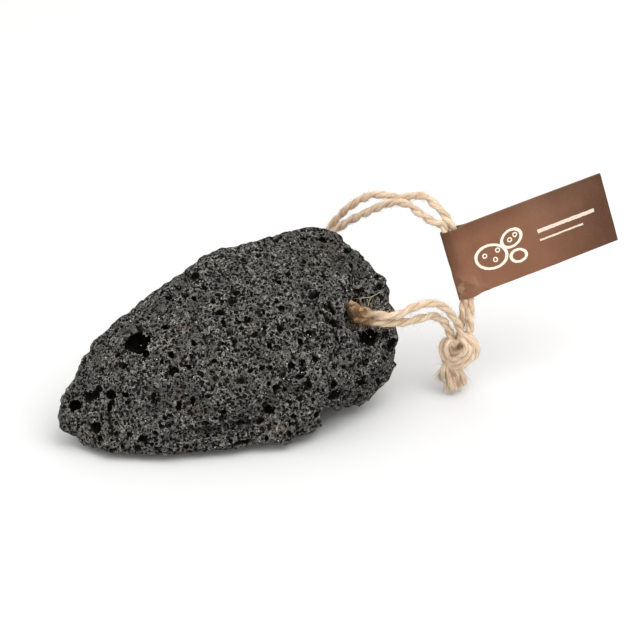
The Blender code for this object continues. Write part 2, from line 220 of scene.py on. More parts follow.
def merged_triangles(mesh):
    """A mesh's points and triangles, with the points that lie on each other made one."""
    spots = np.empty(len(mesh.vertices) * 3, dtype=np.float32)
    mesh.vertices.foreach_get("co", spots)
    spots = spots.reshape(-1, 3)
    corners = np.empty(len(mesh.polygons) * 3, dtype=np.int32)
    mesh.polygons.foreach_get("vertices", corners)
    rounded = np.round(spots * WELD_SCALE).astype(np.int64)
    _, first, same = np.unique(rounded, axis=0, return_index=True, return_inverse=True)
    return spots[first], same.ravel()[corners].reshape(-1, 3)


def spline_weights(count, cells):
    """How much each of a row of lattice values adds to each of count points: a cubic B-spline."""
    place = np.linspace(1.0, cells - 2.001, count)
    away = np.abs(place[:, None] - np.arange(cells)[None])
    near = 2 / 3 - away ** 2 + away ** 3 / 2
    far = (2 - away) ** 3 / 6
    return np.where(away < 1, near, np.where(away < 2, far, 0)).astype(np.float32)


def soft_noise(shape, cell, seed):
    """Smooth noise over a grid of points: random values on a lattice of the given cell, joined by
    cubic B-splines along each axis, between about -1 and 1."""
    sizes = [max(4, int(count * GRAIN / cell) + 4) for count in shape]
    values = np.random.default_rng(seed).uniform(-NOISE_SWING, NOISE_SWING, sizes)
    values = values.astype(np.float32)
    for count, cells in zip(shape, sizes):
        values = np.tensordot(values, spline_weights(count, cells), axes=(0, 1))
    return values


def window_near(field, low, centre, reach, past=0):
    """The part of the field within a reach of a centre, and along each axis how far its points
    are from the centre."""
    start = np.maximum(((np.array(centre) - reach) / GRAIN).astype(int) - low, 0)
    stop = np.minimum(((np.array(centre) + reach) / GRAIN).astype(int) - low + past, field.shape)
    stop = np.maximum(stop, start)
    lines = [(np.arange(start[axis], stop[axis]) + low[axis]) * GRAIN - centre[axis]
             for axis in range(3)]
    return tuple(slice(a, b) for a, b in zip(start, stop)), np.ix_(*lines)


def carve(field, low, centre, half_sizes, warp):
    """Take one bubble out of the field: an ellipsoid whose places are shifted by the warp."""
    reach = max(half_sizes) + 2 * WARP_REACH + 2 * GRAIN
    window, lines = window_near(field, low, centre, reach, past=1)
    away = 0
    for line, shift, half in zip(lines, warp, half_sizes):
        away = away + ((line + shift[window]) / half) ** 2
    inside = (1 - np.sqrt(away)) * min(half_sizes)
    np.maximum(field[window], inside, out=field[window])


def carve_row(field, low, start, end, half_sizes, warp):
    """Carve a row of bubbles from one point to another, half a bubble's radius apart."""
    for part in np.arange(0, 1, half_sizes[0] / 2 / np.linalg.norm(np.subtract(end, start))):
        carve(field, low, start + part * np.subtract(end, start), half_sizes, warp)


def set_in_skin(field, low, centre, depth):
    """A point moved square to the skin until the field has the given value there: along the
    field's slope by the value that is missing, twice over."""
    steps = np.concatenate([np.zeros((1, 3)), np.eye(3), -np.eye(3)]) * 2 * GRAIN
    for _ in range(2):
        value = sampled(field, low, centre + steps)
        centre = centre + unit(value[1:4] - value[4:7]) * (depth - value[0])
    return centre


def swell(field, low, centre, reach, height):
    """Push the skin out by a height times a bell curve of the distance from a centre."""
    window, lines = window_near(field, low, centre, 2 * reach)
    away = lines[0] ** 2 + lines[1] ** 2 + lines[2] ** 2
    field[window] -= (height * np.exp(-SWELL_FALL * away / reach ** 2)).astype(np.float32)


def open_bubbles(field, skin, low, warp, spacing, smallest, largest, seed):
    """Carve the bubbles of one size: centres on a shaken lattice, and only those that the skin
    cuts, so that none is sealed inside."""
    draw = np.random.default_rng(seed)
    spans = [np.arange(low[axis] * GRAIN, (low[axis] + field.shape[axis]) * GRAIN, spacing)
             for axis in range(3)]
    centres = np.stack(np.meshgrid(*spans, indexing="ij"), axis=-1).reshape(-1, 3)
    centres += draw.uniform(-0.5, 0.5, centres.shape) * spacing
    radii = smallest + (largest - smallest) * draw.random(len(centres)) ** MOSTLY_SMALL
    shapes = draw.uniform(*BUBBLE_STRETCH, centres.shape)
    cells = np.clip((centres / GRAIN).round().astype(int) - low, 0, np.array(field.shape) - 1)
    depth = skin[tuple(cells.T)] / radii
    cut = (depth > DEEPEST_CENTRE) & (depth < HIGHEST_CENTRE)
    for centre, radius, shape in zip(centres[cut], radii[cut], shapes[cut]):
        carve(field, low, centre, radius * shape, warp)


def blurred(field, steps):
    """A field averaged over a cube of 2 * steps + 1 cells, one axis at a time."""
    for axis in range(3):
        wider = [(steps + 1, steps) if side == axis else (0, 0) for side in range(3)]
        padded = np.pad(field, wider, mode="edge")
        total = np.cumsum(padded, axis=axis, dtype=np.float32)
        width = 2 * steps + 1
        ahead = np.take(total, range(width, total.shape[axis]), axis=axis)
        behind = np.take(total, range(0, total.shape[axis] - width), axis=axis)
        field = (ahead - behind) / width
    return field


def sampled(field, low, spots):
    """The field's value at each spot, by linear weights between the eight points around it."""
    place = np.clip(spots / GRAIN - low, 0, np.array(field.shape) - 1.001)
    base = place.astype(int)
    part = place - base
    value = 0
    for corner in np.ndindex(2, 2, 2):
        weight = np.prod(np.where(corner, part, 1 - part), axis=1)
        value = value + weight * field[tuple((base + corner).T)]
    return value


def biggest_piece(points, quads):
    """Only the quads of the largest joined surface, so that no crumb is left floating."""
    label = np.arange(len(points))
    while True:
        lowest = label[quads].min(axis=1)
        before = label.copy()
        np.minimum.at(label, quads.ravel(), np.repeat(lowest, 4))
        label = label[label]
        if (label == before).all():
            break
    chosen = np.bincount(label[quads[:, 0]]).argmax()
    kept = quads[label[quads[:, 0]] == chosen]
    used, numbered = np.unique(kept, return_inverse=True)
    return points[used], numbered.reshape(-1, 4)


def mesh_of(name, points, quads, triangles=None):
    """A mesh from arrays of points, of quads and, where there are any, of triangles."""
    triangles = np.empty((0, 3), dtype=int) if triangles is None else triangles
    corners = np.concatenate([quads.ravel(), triangles.ravel()])
    fours = np.arange(len(quads)) * 4
    threes = len(quads) * 4 + np.arange(len(triangles)) * 3
    mesh = bpy.data.meshes.new(name)
    mesh.vertices.add(len(points))
    mesh.vertices.foreach_set("co", np.asarray(points, dtype=np.float32).ravel())
    mesh.loops.add(len(corners))
    mesh.loops.foreach_set("vertex_index", corners.astype(np.int32))
    mesh.polygons.add(len(quads) + len(triangles))
    mesh.polygons.foreach_set("loop_start", np.concatenate([fours, threes]).astype(np.int32))
    mesh.update(calc_edges=True)
    mesh.validate()
    mesh.shade_smooth()
    return mesh


def piece_of(name, mesh, material):
    """A named object at the origin that shows a mesh in a material."""
    piece = bpy.data.objects.new(name, mesh)
    bpy.context.scene.collection.objects.link(piece)
    mesh.materials.append(material)
    return piece


def add_values(mesh, name, values):
    """Store one number, or three, for each point of a mesh under a name its material reads."""
    kind = "FLOAT" if values.ndim == 1 else "FLOAT_VECTOR"
    stored = mesh.attributes.new(name, kind, "POINT")
    stored.data.foreach_set("value" if values.ndim == 1 else "vector",
                            values.astype(np.float32).ravel())


def fewer_triangles(mesh, most):
    """A copy of a mesh, thinned where it is flattest until it has at most so many triangles."""
    holder = bpy.data.objects.new("holder", mesh)
    bpy.context.scene.collection.objects.link(holder)
    thin = holder.modifiers.new("thin", "DECIMATE")
    thin.ratio = most / (2 * len(mesh.polygons))
    graph = bpy.context.evaluated_depsgraph_get()
    result = bpy.data.meshes.new_from_object(holder.evaluated_get(graph))
    bpy.data.objects.remove(holder)
    result.shade_smooth()
    result.set_sharp_from_angle(angle=SHARP_EDGE)
    return result


def pumice_mesh():
    """The stone's skin as the zero level of a distance field: the worn block, plus soft noise for
    its lumps, less every bubble that the skin cuts, above the floor."""
    points, triangles = merged_triangles(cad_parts["stone"].data)
    place = openvdb.createLinearTransform(GRAIN)
    block = openvdb.FloatGrid.createLevelSetFromPolygons(
        points, triangles=triangles.astype(np.uint32), transform=place, halfWidth=SKIN_DEPTH)
    low = np.floor(points.min(axis=0) / GRAIN).astype(int) - MARGIN
    high = np.ceil(points.max(axis=0) / GRAIN).astype(int) + MARGIN
    field = np.empty(tuple(high - low + 1), dtype=np.float32)
    block.copyToArray(field, ijk=tuple(int(number) for number in low))
    for cell, height, seed in LUMPS:
        field += height * soft_noise(field.shape, cell, seed)
    for centre, reach, height in SWELLS.values():
        swell(field, low, centre, reach, height)
    for centre in LIP_ALONG:
        swell(field, low, centre, LIP_REACH, LIP_HEIGHT)
    warp = [WARP_REACH * soft_noise(field.shape, WARP_CELL, seed) for seed in WARP_SEEDS]
    skin = field.copy()
    for start, end, half in BREAKS:
        carve_row(field, low, start, end, (half, half, half), warp)
    for start, end in zip(HOLLOW_ALONG, HOLLOW_ALONG[1:]):
        carve_row(field, low, start, end, HOLLOW_HALF, warp)
    for points_along, half, bite in TROUGHS:
        line = [set_in_skin(skin, low, point, half - bite) for point in points_along]
        for start, end in zip(line, line[1:]):
            carve_row(field, low, start, end, (half, half, half), warp)
    skin = field.copy()
    for centre, half_sizes in BIG_BUBBLES.values():
        centre = set_in_skin(skin, low, centre, BIG_CENTRE * min(half_sizes))
        carve(field, low, centre, half_sizes, warp)
    for spacing, smallest, largest, seed in BUBBLES:
        open_bubbles(field, skin, low, warp, spacing, smallest, largest, seed)
    height = (np.arange(field.shape[2]) + low[2]) * GRAIN
    np.maximum(field, -height.astype(np.float32), out=field)
    solid = openvdb.FloatGrid(background=float(SKIN_DEPTH * GRAIN))
    solid.transform = place
    solid.copyFromArray(field, ijk=tuple(int(number) for number in low))
    points, _, quads = solid.convertToPolygons(0.0, 0.0)
    points, quads = biggest_piece(points, quads.astype(int))
    mesh = fewer_triangles(mesh_of("full_stone", points, quads[:, ::-1]), STONE_TRIANGLES)
    spots = np.empty(len(mesh.vertices) * 3, dtype=np.float32)
    mesh.vertices.foreach_get("co", spots)
    spots = spots.reshape(-1, 3)
    # Two numbers for the material's painted light: how deep each point lies under the skin before
    # the bubbles, for painted shade in pits, and how much solid lies round it, for painted shade in
    # hollows and a painted highlight on convex edges.
    full = np.clip(0.5 - field / (2 * GRAIN), 0, 1)
    add_values(mesh, "hollow", -sampled(skin, low, spots) * MM)
    add_values(mesh, "around", sampled(blurred(blurred(full, 1), 1), low, spots))
    return mesh


def add_node(tree, kind, inputs=None, **settings):
    """One shader node, with its settings, and a number, a colour or a link on its sockets."""
    made = tree.nodes.new(kind)
    for name, value in settings.items():
        setattr(made, name, value)
    for socket, value in (inputs or {}).items():
        if isinstance(value, bpy.types.NodeSocket):
            tree.links.new(value, made.inputs[socket])
        else:
            made.inputs[socket].default_value = value
    return made


def maths(tree, how, *values):
    """A sum worked out in the material."""
    return add_node(tree, "ShaderNodeMath", dict(enumerate(values)), operation=how).outputs[0]


def times(tree, first, second):
    """The product of two values in the material."""
    return maths(tree, "MULTIPLY", first, second)


def between(tree, value, start, end, low=0.0, high=1.0):
    """A smooth step from low to high as the value goes from start to end."""
    made = add_node(tree, "ShaderNodeMapRange",
                    {"Value": value, "From Min": start, "From Max": end,
                     "To Min": low, "To Max": high},
                    interpolation_type="SMOOTHSTEP")
    return made.outputs["Result"]


def blended(tree, share, first, second):
    """Two colours mixed by a share from 0 to 1."""
    first, second = (value if isinstance(value, bpy.types.NodeSocket) else (*value, 1.0)
                     for value in (first, second))
    return add_node(tree, "ShaderNodeMix", {0: share, 6: first, 7: second},
                    data_type="RGBA").outputs[2]


def layered(tree, colour, layers):
    """A colour with others laid over it in turn, each by its share."""
    for share, over in layers:
        colour = blended(tree, share, colour, over)
    return colour


def noise(tree, place, scale, detail=2.0, output="Fac"):
    """A noise pattern of so many cells a metre."""
    made = add_node(tree, "ShaderNodeTexNoise",
                    {"Vector": place, "Scale": scale, "Detail": detail})
    return made.outputs[output]


def shaken(tree, spots, place, scale, reach):
    """Spots moved each way by noise of so many cells a metre, by up to half a reach."""
    way = add_node(tree, "ShaderNodeVectorMath",
                   {0: noise(tree, place, scale, output="Color"), 1: (0.5, 0.5, 0.5)},
                   operation="SUBTRACT").outputs[0]
    shift = add_node(tree, "ShaderNodeVectorMath", {0: way, "Scale": reach},
                     operation="SCALE").outputs[0]
    return add_node(tree, "ShaderNodeVectorMath", {0: spots, 1: shift}, operation="ADD").outputs[0]


def stored(tree, name, output="Fac"):
    """A number, or as a Vector three, stored on the mesh under a name."""
    return add_node(tree, "ShaderNodeAttribute", attribute_name=name).outputs[output]


def relief(tree, shader, height, strength, deep):
    """Fine relief on the shader, from a height worked out in the material."""
    bump = add_node(tree, "ShaderNodeBump",
                    {"Strength": strength, "Distance": deep, "Height": height})
    tree.links.new(bump.outputs["Normal"], shader.inputs["Normal"])


def material_start(name, roughness):
    """A new material: its node tree, its shader and its Object coordinates."""
    material = bpy.data.materials.new(name)
    material.use_nodes = True
    tree = material.node_tree
    shader = tree.nodes["Principled BSDF"]
    shader.inputs["Roughness"].default_value = roughness
    place = tree.nodes.new("ShaderNodeTexCoord").outputs["Object"]
    return material, tree, shader, place


def foam(tree, place, scale, rarest, widest):
    """Bubbles of one size cut by the skin, so many cells a metre: how far each place is inside a
    pore, for painted shade, and how far it is on a thin wall between two cells or on the lip round
    a pore, where the lip is a painted highlight."""
    cells = add_node(tree, "ShaderNodeTexVoronoi", {"Vector": place, "Scale": scale})
    walls = add_node(tree, "ShaderNodeTexVoronoi", {"Vector": place, "Scale": scale},
                     feature="DISTANCE_TO_EDGE")
    chance = add_node(tree, "ShaderNodeSeparateColor", {0: cells.outputs["Color"]})
    width = between(tree, chance.outputs[0], rarest, 1.0, 0.0, widest)
    gap = maths(tree, "SUBTRACT", cells.outputs["Distance"], width)
    pore = between(tree, gap, -0.05, 0.03, 1.0, 0.0)
    lip = times(tree, between(tree, gap, 0.0, 0.04), between(tree, gap, 0.06, 0.16, 1.0, 0.0))
    lip = times(tree, lip, between(tree, width, 0.10, 0.25))
    wall = between(tree, walls.outputs["Distance"], 0.015, 0.075, 1.0, 0.0)
    return pore, maths(tree, "MAXIMUM", wall, lip)


def lava_finish():
    """Dull dark glass with pale thin walls between its bubbles, a few rusty and olive patches,
    random specks and rare bright crystals. A painted highlight lies on convex edges, partly wear,
    and on the lip round each painted pore. Painted shade lies in the pits, in the hollows and in
    the pin-prick pores, and darkens the stone towards the drilled end."""
    material, tree, shader, place = material_start("lava", 0.85)
    shader.inputs["Specular IOR Level"].default_value = 0.02
    hollow, around = stored(tree, "hollow"), stored(tree, "around")
    moved = place
    for scale, reach in ((480.0, 0.0007), (1500.0, 0.00030)):
        moved = shaken(tree, moved, place, scale, reach)
    pore, wall = 0.0, 0.0
    for scale, rarest, widest, bright in ((620.0, 0.50, 0.46, 0.8), (1050.0, 0.16, 0.57, 1.0),
                                          (1900.0, 0.12, 0.62, 0.9)):
        inside, thin = foam(tree, moved, scale, rarest, widest)
        pore = maths(tree, "MAXIMUM", pore, inside)
        wall = maths(tree, "MAXIMUM", wall, times(tree, thin, bright))
    broken = times(tree, between(tree, noise(tree, place, 1100), 0.42, 0.60),
                   between(tree, noise(tree, place, 210), 0.38, 0.62, 0.25, 1.0))
    wall = times(tree, wall, broken)
    # Paler on convex edges, where little solid lies round the point: partly wear, partly painted
    # highlight.
    rim = times(tree, between(tree, around, 0.46, 0.30),
                between(tree, noise(tree, place, 700), 0.40, 0.62, 0.20, 1.0))
    speck = noise(tree, place, 2600)
    patch = maths(tree, "MULTIPLY_ADD", noise(tree, place, 330), 0.55,
                  times(tree, noise(tree, place, 120), 0.45))
    rust = between(tree, noise(tree, place, 95, 1.5), 0.62, 0.76)
    elsewhere = add_node(tree, "ShaderNodeVectorMath", {0: place, 1: (0.3, 0.1, 0.2)},
                         operation="ADD").outputs[0]
    olive = between(tree, noise(tree, elsewhere, 90, 1.5), 0.58, 0.74)
    sideways = add_node(tree, "ShaderNodeSeparateXYZ", {0: place}).outputs[0]
    grains = add_node(tree, "ShaderNodeTexVoronoi", {"Vector": place, "Scale": 1500.0})
    pick = add_node(tree, "ShaderNodeSeparateColor", {0: grains.outputs["Color"]})
    crystal = times(tree, between(tree, pick.outputs[1], 0.980, 0.990),
                    between(tree, grains.outputs["Distance"], 0.34, 0.20))
    colour = blended(tree, between(tree, patch, 0.40, 0.60), LAVA_DARK, LAVA)
    colour = layered(tree, colour, [
        # Painted shade: darker towards the drilled end.
        (between(tree, sideways, 0.028, 0.044, 0.0, 0.24), LAVA_SHADE_AND_SPECK),
        (times(tree, rust, 0.40), LAVA_RUST),
        (times(tree, olive, 0.45), LAVA_OLIVE),
        (between(tree, speck, 0.56, 0.74, 0.0, 0.10), LAVA_PALE_AND_HIGHLIGHT),
        (between(tree, speck, 0.44, 0.30, 0.0, 0.20), LAVA_SHADE_AND_SPECK),
        # Pale thin walls between the bubbles, with a painted highlight on the lip round each
        # painted pore.
        (times(tree, wall, 0.78), LAVA_PALE_AND_HIGHLIGHT),
        # Painted highlight on convex edges, partly wear.
        (times(tree, rim, 0.34), LAVA_PALE_AND_HIGHLIGHT),
        # Painted shade in the pits, by how far each point lies under the skin.
        (times(tree, between(tree, hollow, 0.12, 1.15), 0.95), LAVA_SHADE_AND_SPECK),
        # Painted shade in hollows, where much solid lies round the point.
        (times(tree, between(tree, around, 0.58, 0.80), 0.36), LAVA_SHADE_AND_SPECK),
        # Painted shade: the pin-prick pores painted near black.
        (times(tree, pore, 0.95), LAVA_SHADE_AND_SPECK),
        (crystal, LAVA_CRYSTAL)])
    tree.links.new(colour, shader.inputs["Base Color"])
    height = maths(tree, "ADD", noise(tree, place, 1900, 4.0), times(tree, wall, 0.5))
    height = maths(tree, "SUBTRACT", height, times(tree, pore, 1.6))
    relief(tree, shader, height, 1.0, 0.00025)
    return material


stone = piece_of("lava_stone", pumice_mesh(), lava_finish())
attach(stone, "root")
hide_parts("stone")


# ---------------------------------------------------------------------------------------------
# The tag is one strip of thin card, printed brown on its outside and bare inside, folded once over
# both strands. The fold is a wedge held open by them, dented and crumpled where it was pinched
# shut; past it the two leaves lie on each other.
TAG_CORNER = np.array((0.0667, -0.0044, 0.0512))
TAG_LONG = np.array((0.975, 0.011, 0.222))
TAG_FOLD = np.array((0.2236, -0.2319, -0.9467))
TAG_LENGTH = 0.0539
TAG_HEIGHT = 0.0222
CARD = 0.00028
LEAF_GAP = 0.00030
# The wedge: half its width, how far from the fold it is widest and where the leaves meet.
WEDGE_HALF = 0.00190
WEDGE_END = 0.0041
WEDGE_SHAPE = 0.34
LEAVES_MEET = 0.0088
# It is pinched in, and its fold bulges, at this many millimetres down, over this reach.
PINCH_DOWN = 12.4
PINCH_REACH = 1.7
PINCH_SHARE = 0.06
BULGE = 0.00012
BULGE_REACH = 0.002
TAG_BOW = 0.0006
TAG_BOW_NONE = 0.3
CREASES_START = 0.0015
WEDGE_ROWS, FALL_ROWS, LEAF_ROWS, DOWN_ROWS = 26, 20, 66, 64
CARD_EDGE = math.radians(40)
# Creases in the front leaf, in millimetres from the fold and down from the top edge: where each
# starts and ends, its width and how far it stands out.
CREASES = [
    ((4.3, -1.0), (4.9, 12.0), 0.55, 0.16),
    ((7.4, 1.0), (8.6, 23.0), 1.10, -0.16),
    ((0.4, 14.6), (9.4, 21.8), 0.85, 0.50),
    ((0.6, 19.6), (5.4, 17.4), 0.70, 0.22),
    ((12.5, -1.0), (17.5, 9.0), 1.60, 0.13),
    ((19.5, 10.0), (23.0, 23.0), 1.80, -0.12),
    ((27.0, 14.0), (33.0, 22.5), 1.60, 0.14),
    ((33.0, -1.0), (37.5, 9.5), 1.50, -0.10),
    ((45.0, 12.0), (54.5, 17.0), 2.00, 0.12),
]
CARD_BROWN = (0.232, 0.104, 0.0585)
# A dark brown for the painted shade at the fold, the top and the right end, and for random
# mottling.
CARD_SHADE_AND_MOTTLE = (0.070, 0.031, 0.016)
CARD_PALE = (0.420, 0.260, 0.175)
CARD_CORE = (0.260, 0.170, 0.120)
CARD_PRINT = (0.950, 0.840, 0.700)
# The print is a plain drawing of three pebbles: each one's middle and half sizes in millimetres
# and its tilt in degrees. Small rings in them stand for pores, and two plain rules lie beside.
PEBBLES = [
    ((13.2, 12.6), (5.0, 3.7), 12.0),
    ((20.8, 9.3), (3.4, 2.5), -18.0),
    ((21.6, 15.3), (2.5, 1.9), 8.0),
]
PEBBLE_LINE = 0.36
PORE_RINGS = [(11.2, 11.7), (14.2, 13.9), (15.6, 11.3), (20.2, 9.6), (22.2, 8.6)]
PORE_RING = 0.62
PORE_LINE = 0.17
RULES = [((29.4, 48.6), 10.3, 0.55), ((29.4, 44.0), 13.2, 0.26)]


def crease_height(along, down):
    """How far the front leaf stands out: for each crease its height times a bell curve of the
    distance from the crease's line."""
    height = 0
    for start, end, width, stands in CREASES:
        line = np.subtract(end, start)
        part = ((along - start[0]) * line[0] + (down - start[1]) * line[1]) / (line @ line)
        part = np.clip(part, 0, 1)
        away = np.hypot(along - start[0] - part * line[0], down - start[1] - part * line[1])
        height = height + stands * np.exp(-(away / width) ** 2)
    return height


def tag_grid():
    """How far each point of the strip is from the fold, minus on the back leaf, and how far down:
    closer together by the fold, where the card is bent."""
    wedge = WEDGE_END * np.linspace(0, 1, WEDGE_ROWS) ** 2
    falls = np.linspace(WEDGE_END, LEAVES_MEET, FALL_ROWS)[1:]
    flat = np.linspace(LEAVES_MEET, TAG_LENGTH - CARD, LEAF_ROWS)[1:]
    leaf = np.concatenate([wedge, falls, flat])
    strip = np.concatenate([-leaf[:0:-1], leaf])
    return np.meshgrid(strip, np.linspace(0, TAG_HEIGHT, DOWN_ROWS), indexing="ij")


def tag_surface(strip, down):
    """The card's middle surface: a wedge whose half width grows as a power of the distance from
    the fold, then falls along half a cosine wave until the leaves meet; bow and creases on top."""
    along = np.abs(strip)
    pinch = np.exp(-((down * MM - PINCH_DOWN) / PINCH_REACH) ** 2)
    flat = (LEAF_GAP + CARD) / 2
    grown = np.clip(along / WEDGE_END, 0, 1) ** WEDGE_SHAPE
    fall = (1 + np.cos(np.pi * np.clip((along - WEDGE_END) / (LEAVES_MEET - WEDGE_END), 0, 1))) / 2
    half = (flat + (WEDGE_HALF - flat) * fall) * grown * (1 - PINCH_SHARE * pinch)
    front = np.where(strip > 0, crease_height(along * MM, down * MM), 0) / MM
    eased = np.clip(along / CREASES_START, 0, 1) ** 2
    bow = TAG_BOW * np.sin(np.pi * along / TAG_LENGTH) ** 2 * (down / TAG_HEIGHT - TAG_BOW_NONE)
    out = half * np.sign(strip) + front * eased + bow
    start = CARD / 2 + BULGE * pinch * np.exp(-along / BULGE_REACH)
    long = unit(TAG_LONG)
    fold = unit(TAG_FOLD - long * (TAG_FOLD @ long))
    facing = np.cross(fold, long)
    return (TAG_CORNER + (along + start)[..., None] * long + out[..., None] * facing
            + down[..., None] * fold)


def grid_quads(rows, columns, closed=False):
    """The quads between the points of a grid that is numbered row by row, each quad going along
    its row first; a closed grid's last column joins its first."""
    row, column = np.meshgrid(np.arange(rows - 1), np.arange(columns - (not closed)), indexing="ij")
    after = (column + 1) % columns
    return np.stack([row * columns + column, row * columns + after,
                     (row + 1) * columns + after, (row + 1) * columns + column],
                    axis=-1).reshape(-1, 4)


def tag_mesh():
    """The card as a closed shell: its middle surface moved out and in by half its thickness,
    and a rim of quads all round."""
    strip, down = tag_grid()
    middle = tag_surface(strip, down)
    normal = unit(np.cross(np.gradient(middle, axis=1), np.gradient(middle, axis=0)))
    outer = middle + normal * CARD / 2
    inner = middle - normal * CARD / 2
    rows, columns = strip.shape
    count = rows * columns
    number = np.arange(count).reshape(rows, columns)
    skin = grid_quads(rows, columns)
    border = np.concatenate([number[0, :-1], number[:-1, -1], number[-1, :0:-1], number[:0:-1, 0]])
    after = np.roll(border, -1)
    rim = np.stack([border, border + count, after + count, after], axis=-1)
    quads = np.concatenate([skin[:, ::-1], skin + count, rim[:, ::-1]])
    points = np.concatenate([outer.reshape(-1, 3), inner.reshape(-1, 3)])
    mesh = mesh_of("card_tag", points, quads)
    mesh.set_sharp_from_angle(angle=CARD_EDGE)
    place = np.stack([np.abs(strip), down, np.sign(strip) * 0.001], axis=-1).reshape(-1, 3) * MM
    add_values(mesh, "card", np.concatenate([place, place]))
    add_values(mesh, "printed", np.repeat([1.0, 0.0], count))
    return mesh


def near_ellipse(tree, along, down, centre, half_sizes, tilt):
    """How far a place on the card is from an ellipse's outline, in millimetres."""
    cosine, sine = math.cos(math.radians(tilt)), math.sin(math.radians(tilt))
    right = maths(tree, "SUBTRACT", along, centre[0])
    below = maths(tree, "SUBTRACT", down, centre[1])
    first = maths(tree, "MULTIPLY_ADD", below, sine, times(tree, right, cosine))
    second = maths(tree, "MULTIPLY_ADD", right, -sine, times(tree, below, cosine))
    first = maths(tree, "DIVIDE", first, half_sizes[0])
    second = maths(tree, "DIVIDE", second, half_sizes[1])
    square = maths(tree, "MULTIPLY_ADD", first, first, times(tree, second, second))
    away = maths(tree, "SUBTRACT", maths(tree, "SQRT", square), 1.0)
    return times(tree, maths(tree, "ABSOLUTE", away), min(half_sizes))


def drawn(tree, away, width):
    """Full ink within half the width of a line, fading at its edge."""
    return between(tree, away, width / 2 - 0.04, width / 2 + 0.08, 1.0, 0.0)


def card_print(tree, along, down):
    """The cream drawing: pebble outlines, pore rings and two rules."""
    ink = 0.0
    for centre, half_sizes, tilt in PEBBLES:
        away = near_ellipse(tree, along, down, centre, half_sizes, tilt)
        ink = maths(tree, "MAXIMUM", ink, drawn(tree, away, PEBBLE_LINE * 2))
    for centre in PORE_RINGS:
        away = near_ellipse(tree, along, down, centre, (PORE_RING, PORE_RING), 0.0)
        ink = maths(tree, "MAXIMUM", ink, drawn(tree, away, PORE_LINE * 2))
    for (start, end), height, half_width in RULES:
        middle = maths(tree, "ABSOLUTE", maths(tree, "SUBTRACT", along, (start + end) / 2))
        past = maths(tree, "MAXIMUM", 0.0, maths(tree, "SUBTRACT", middle, (end - start) / 2))
        off = maths(tree, "ABSOLUTE", maths(tree, "SUBTRACT", down, height))
        off = maths(tree, "SUBTRACT", off, half_width)
        ink = maths(tree, "MAXIMUM", ink, drawn(tree, maths(tree, "MAXIMUM", off, past), 0.0))
    return ink


def card_finish():
    """Smooth kraft card: an uneven, mottled brown print, a pale bare inside and cut edge, and the
    cream drawing on the front leaf. Painted shade darkens the fold strip, the top edge and the
    right end, and a painted highlight lightens the crumple by the fold."""
    material, tree, shader, place = material_start("card", 0.62)
    shader.inputs["Specular IOR Level"].default_value = 0.12
    card = stored(tree, "card", "Vector")
    moved = add_node(tree, "ShaderNodeSeparateXYZ",
                     {0: shaken(tree, card, place, 900, 0.35)}).outputs
    along, down, leaf = add_node(tree, "ShaderNodeSeparateXYZ", {0: card}).outputs
    cloud = noise(tree, place, 60, 3.0)
    fibre = noise(tree, place, 1400, 3.0)
    # Painted shade in the strip along the fold, deepest high up.
    fold = times(tree, between(tree, along, 1.2, 3.9, 0.52, 0.0),
                 between(tree, down, 9.0, 17.0, 1.0, 0.45))
    # Painted highlight on the crumple by the fold, in its lower part, broken by noise.
    crumple_highlight = times(tree, between(tree, along, 9.5, 2.0), between(tree, down, 14.0, 18.5))
    crumple_highlight = times(tree, crumple_highlight, between(tree, noise(tree, place, 420, 3.0), 0.40, 0.62))
    ink = times(tree, card_print(tree, moved[0], moved[1]), between(tree, leaf, 0.4, 0.6))
    ink = times(tree, ink, between(tree, noise(tree, place, 1700), 0.30, 0.42, 0.80, 1.0))
    colour = layered(tree, CARD_BROWN, [
        # Painted shade towards the right end.
        (between(tree, along, 20.0, 54.0, 0.0, 0.80), CARD_SHADE_AND_MOTTLE),
        # Painted shade along the top edge.
        (between(tree, down, 0.0, 6.5, 0.46, 0.0), CARD_SHADE_AND_MOTTLE),
        # Painted shade in the fold strip.
        (fold, CARD_SHADE_AND_MOTTLE),
        (between(tree, cloud, 0.45, 0.75, 0.0, 0.12), CARD_PALE),
        (between(tree, cloud, 0.50, 0.25, 0.0, 0.16), CARD_SHADE_AND_MOTTLE),
        # Painted highlight on the crumple.
        (times(tree, crumple_highlight, 0.55), CARD_PALE),
        (between(tree, fibre, 0.35, 0.70, 0.0, 0.04), CARD_PALE),
        (ink, CARD_PRINT),
        (between(tree, stored(tree, "printed"), 0.60, 0.75, 1.0, 0.0), CARD_CORE)])
    tree.links.new(colour, shader.inputs["Base Color"])
    height = maths(tree, "MULTIPLY_ADD", fibre, 0.5, noise(tree, place, 260, 3.0))
    relief(tree, shader, height, 0.25, 0.00012)
    return material


tag = piece_of("card_tag", tag_mesh(), card_finish())
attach(tag, "root")
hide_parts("tag")


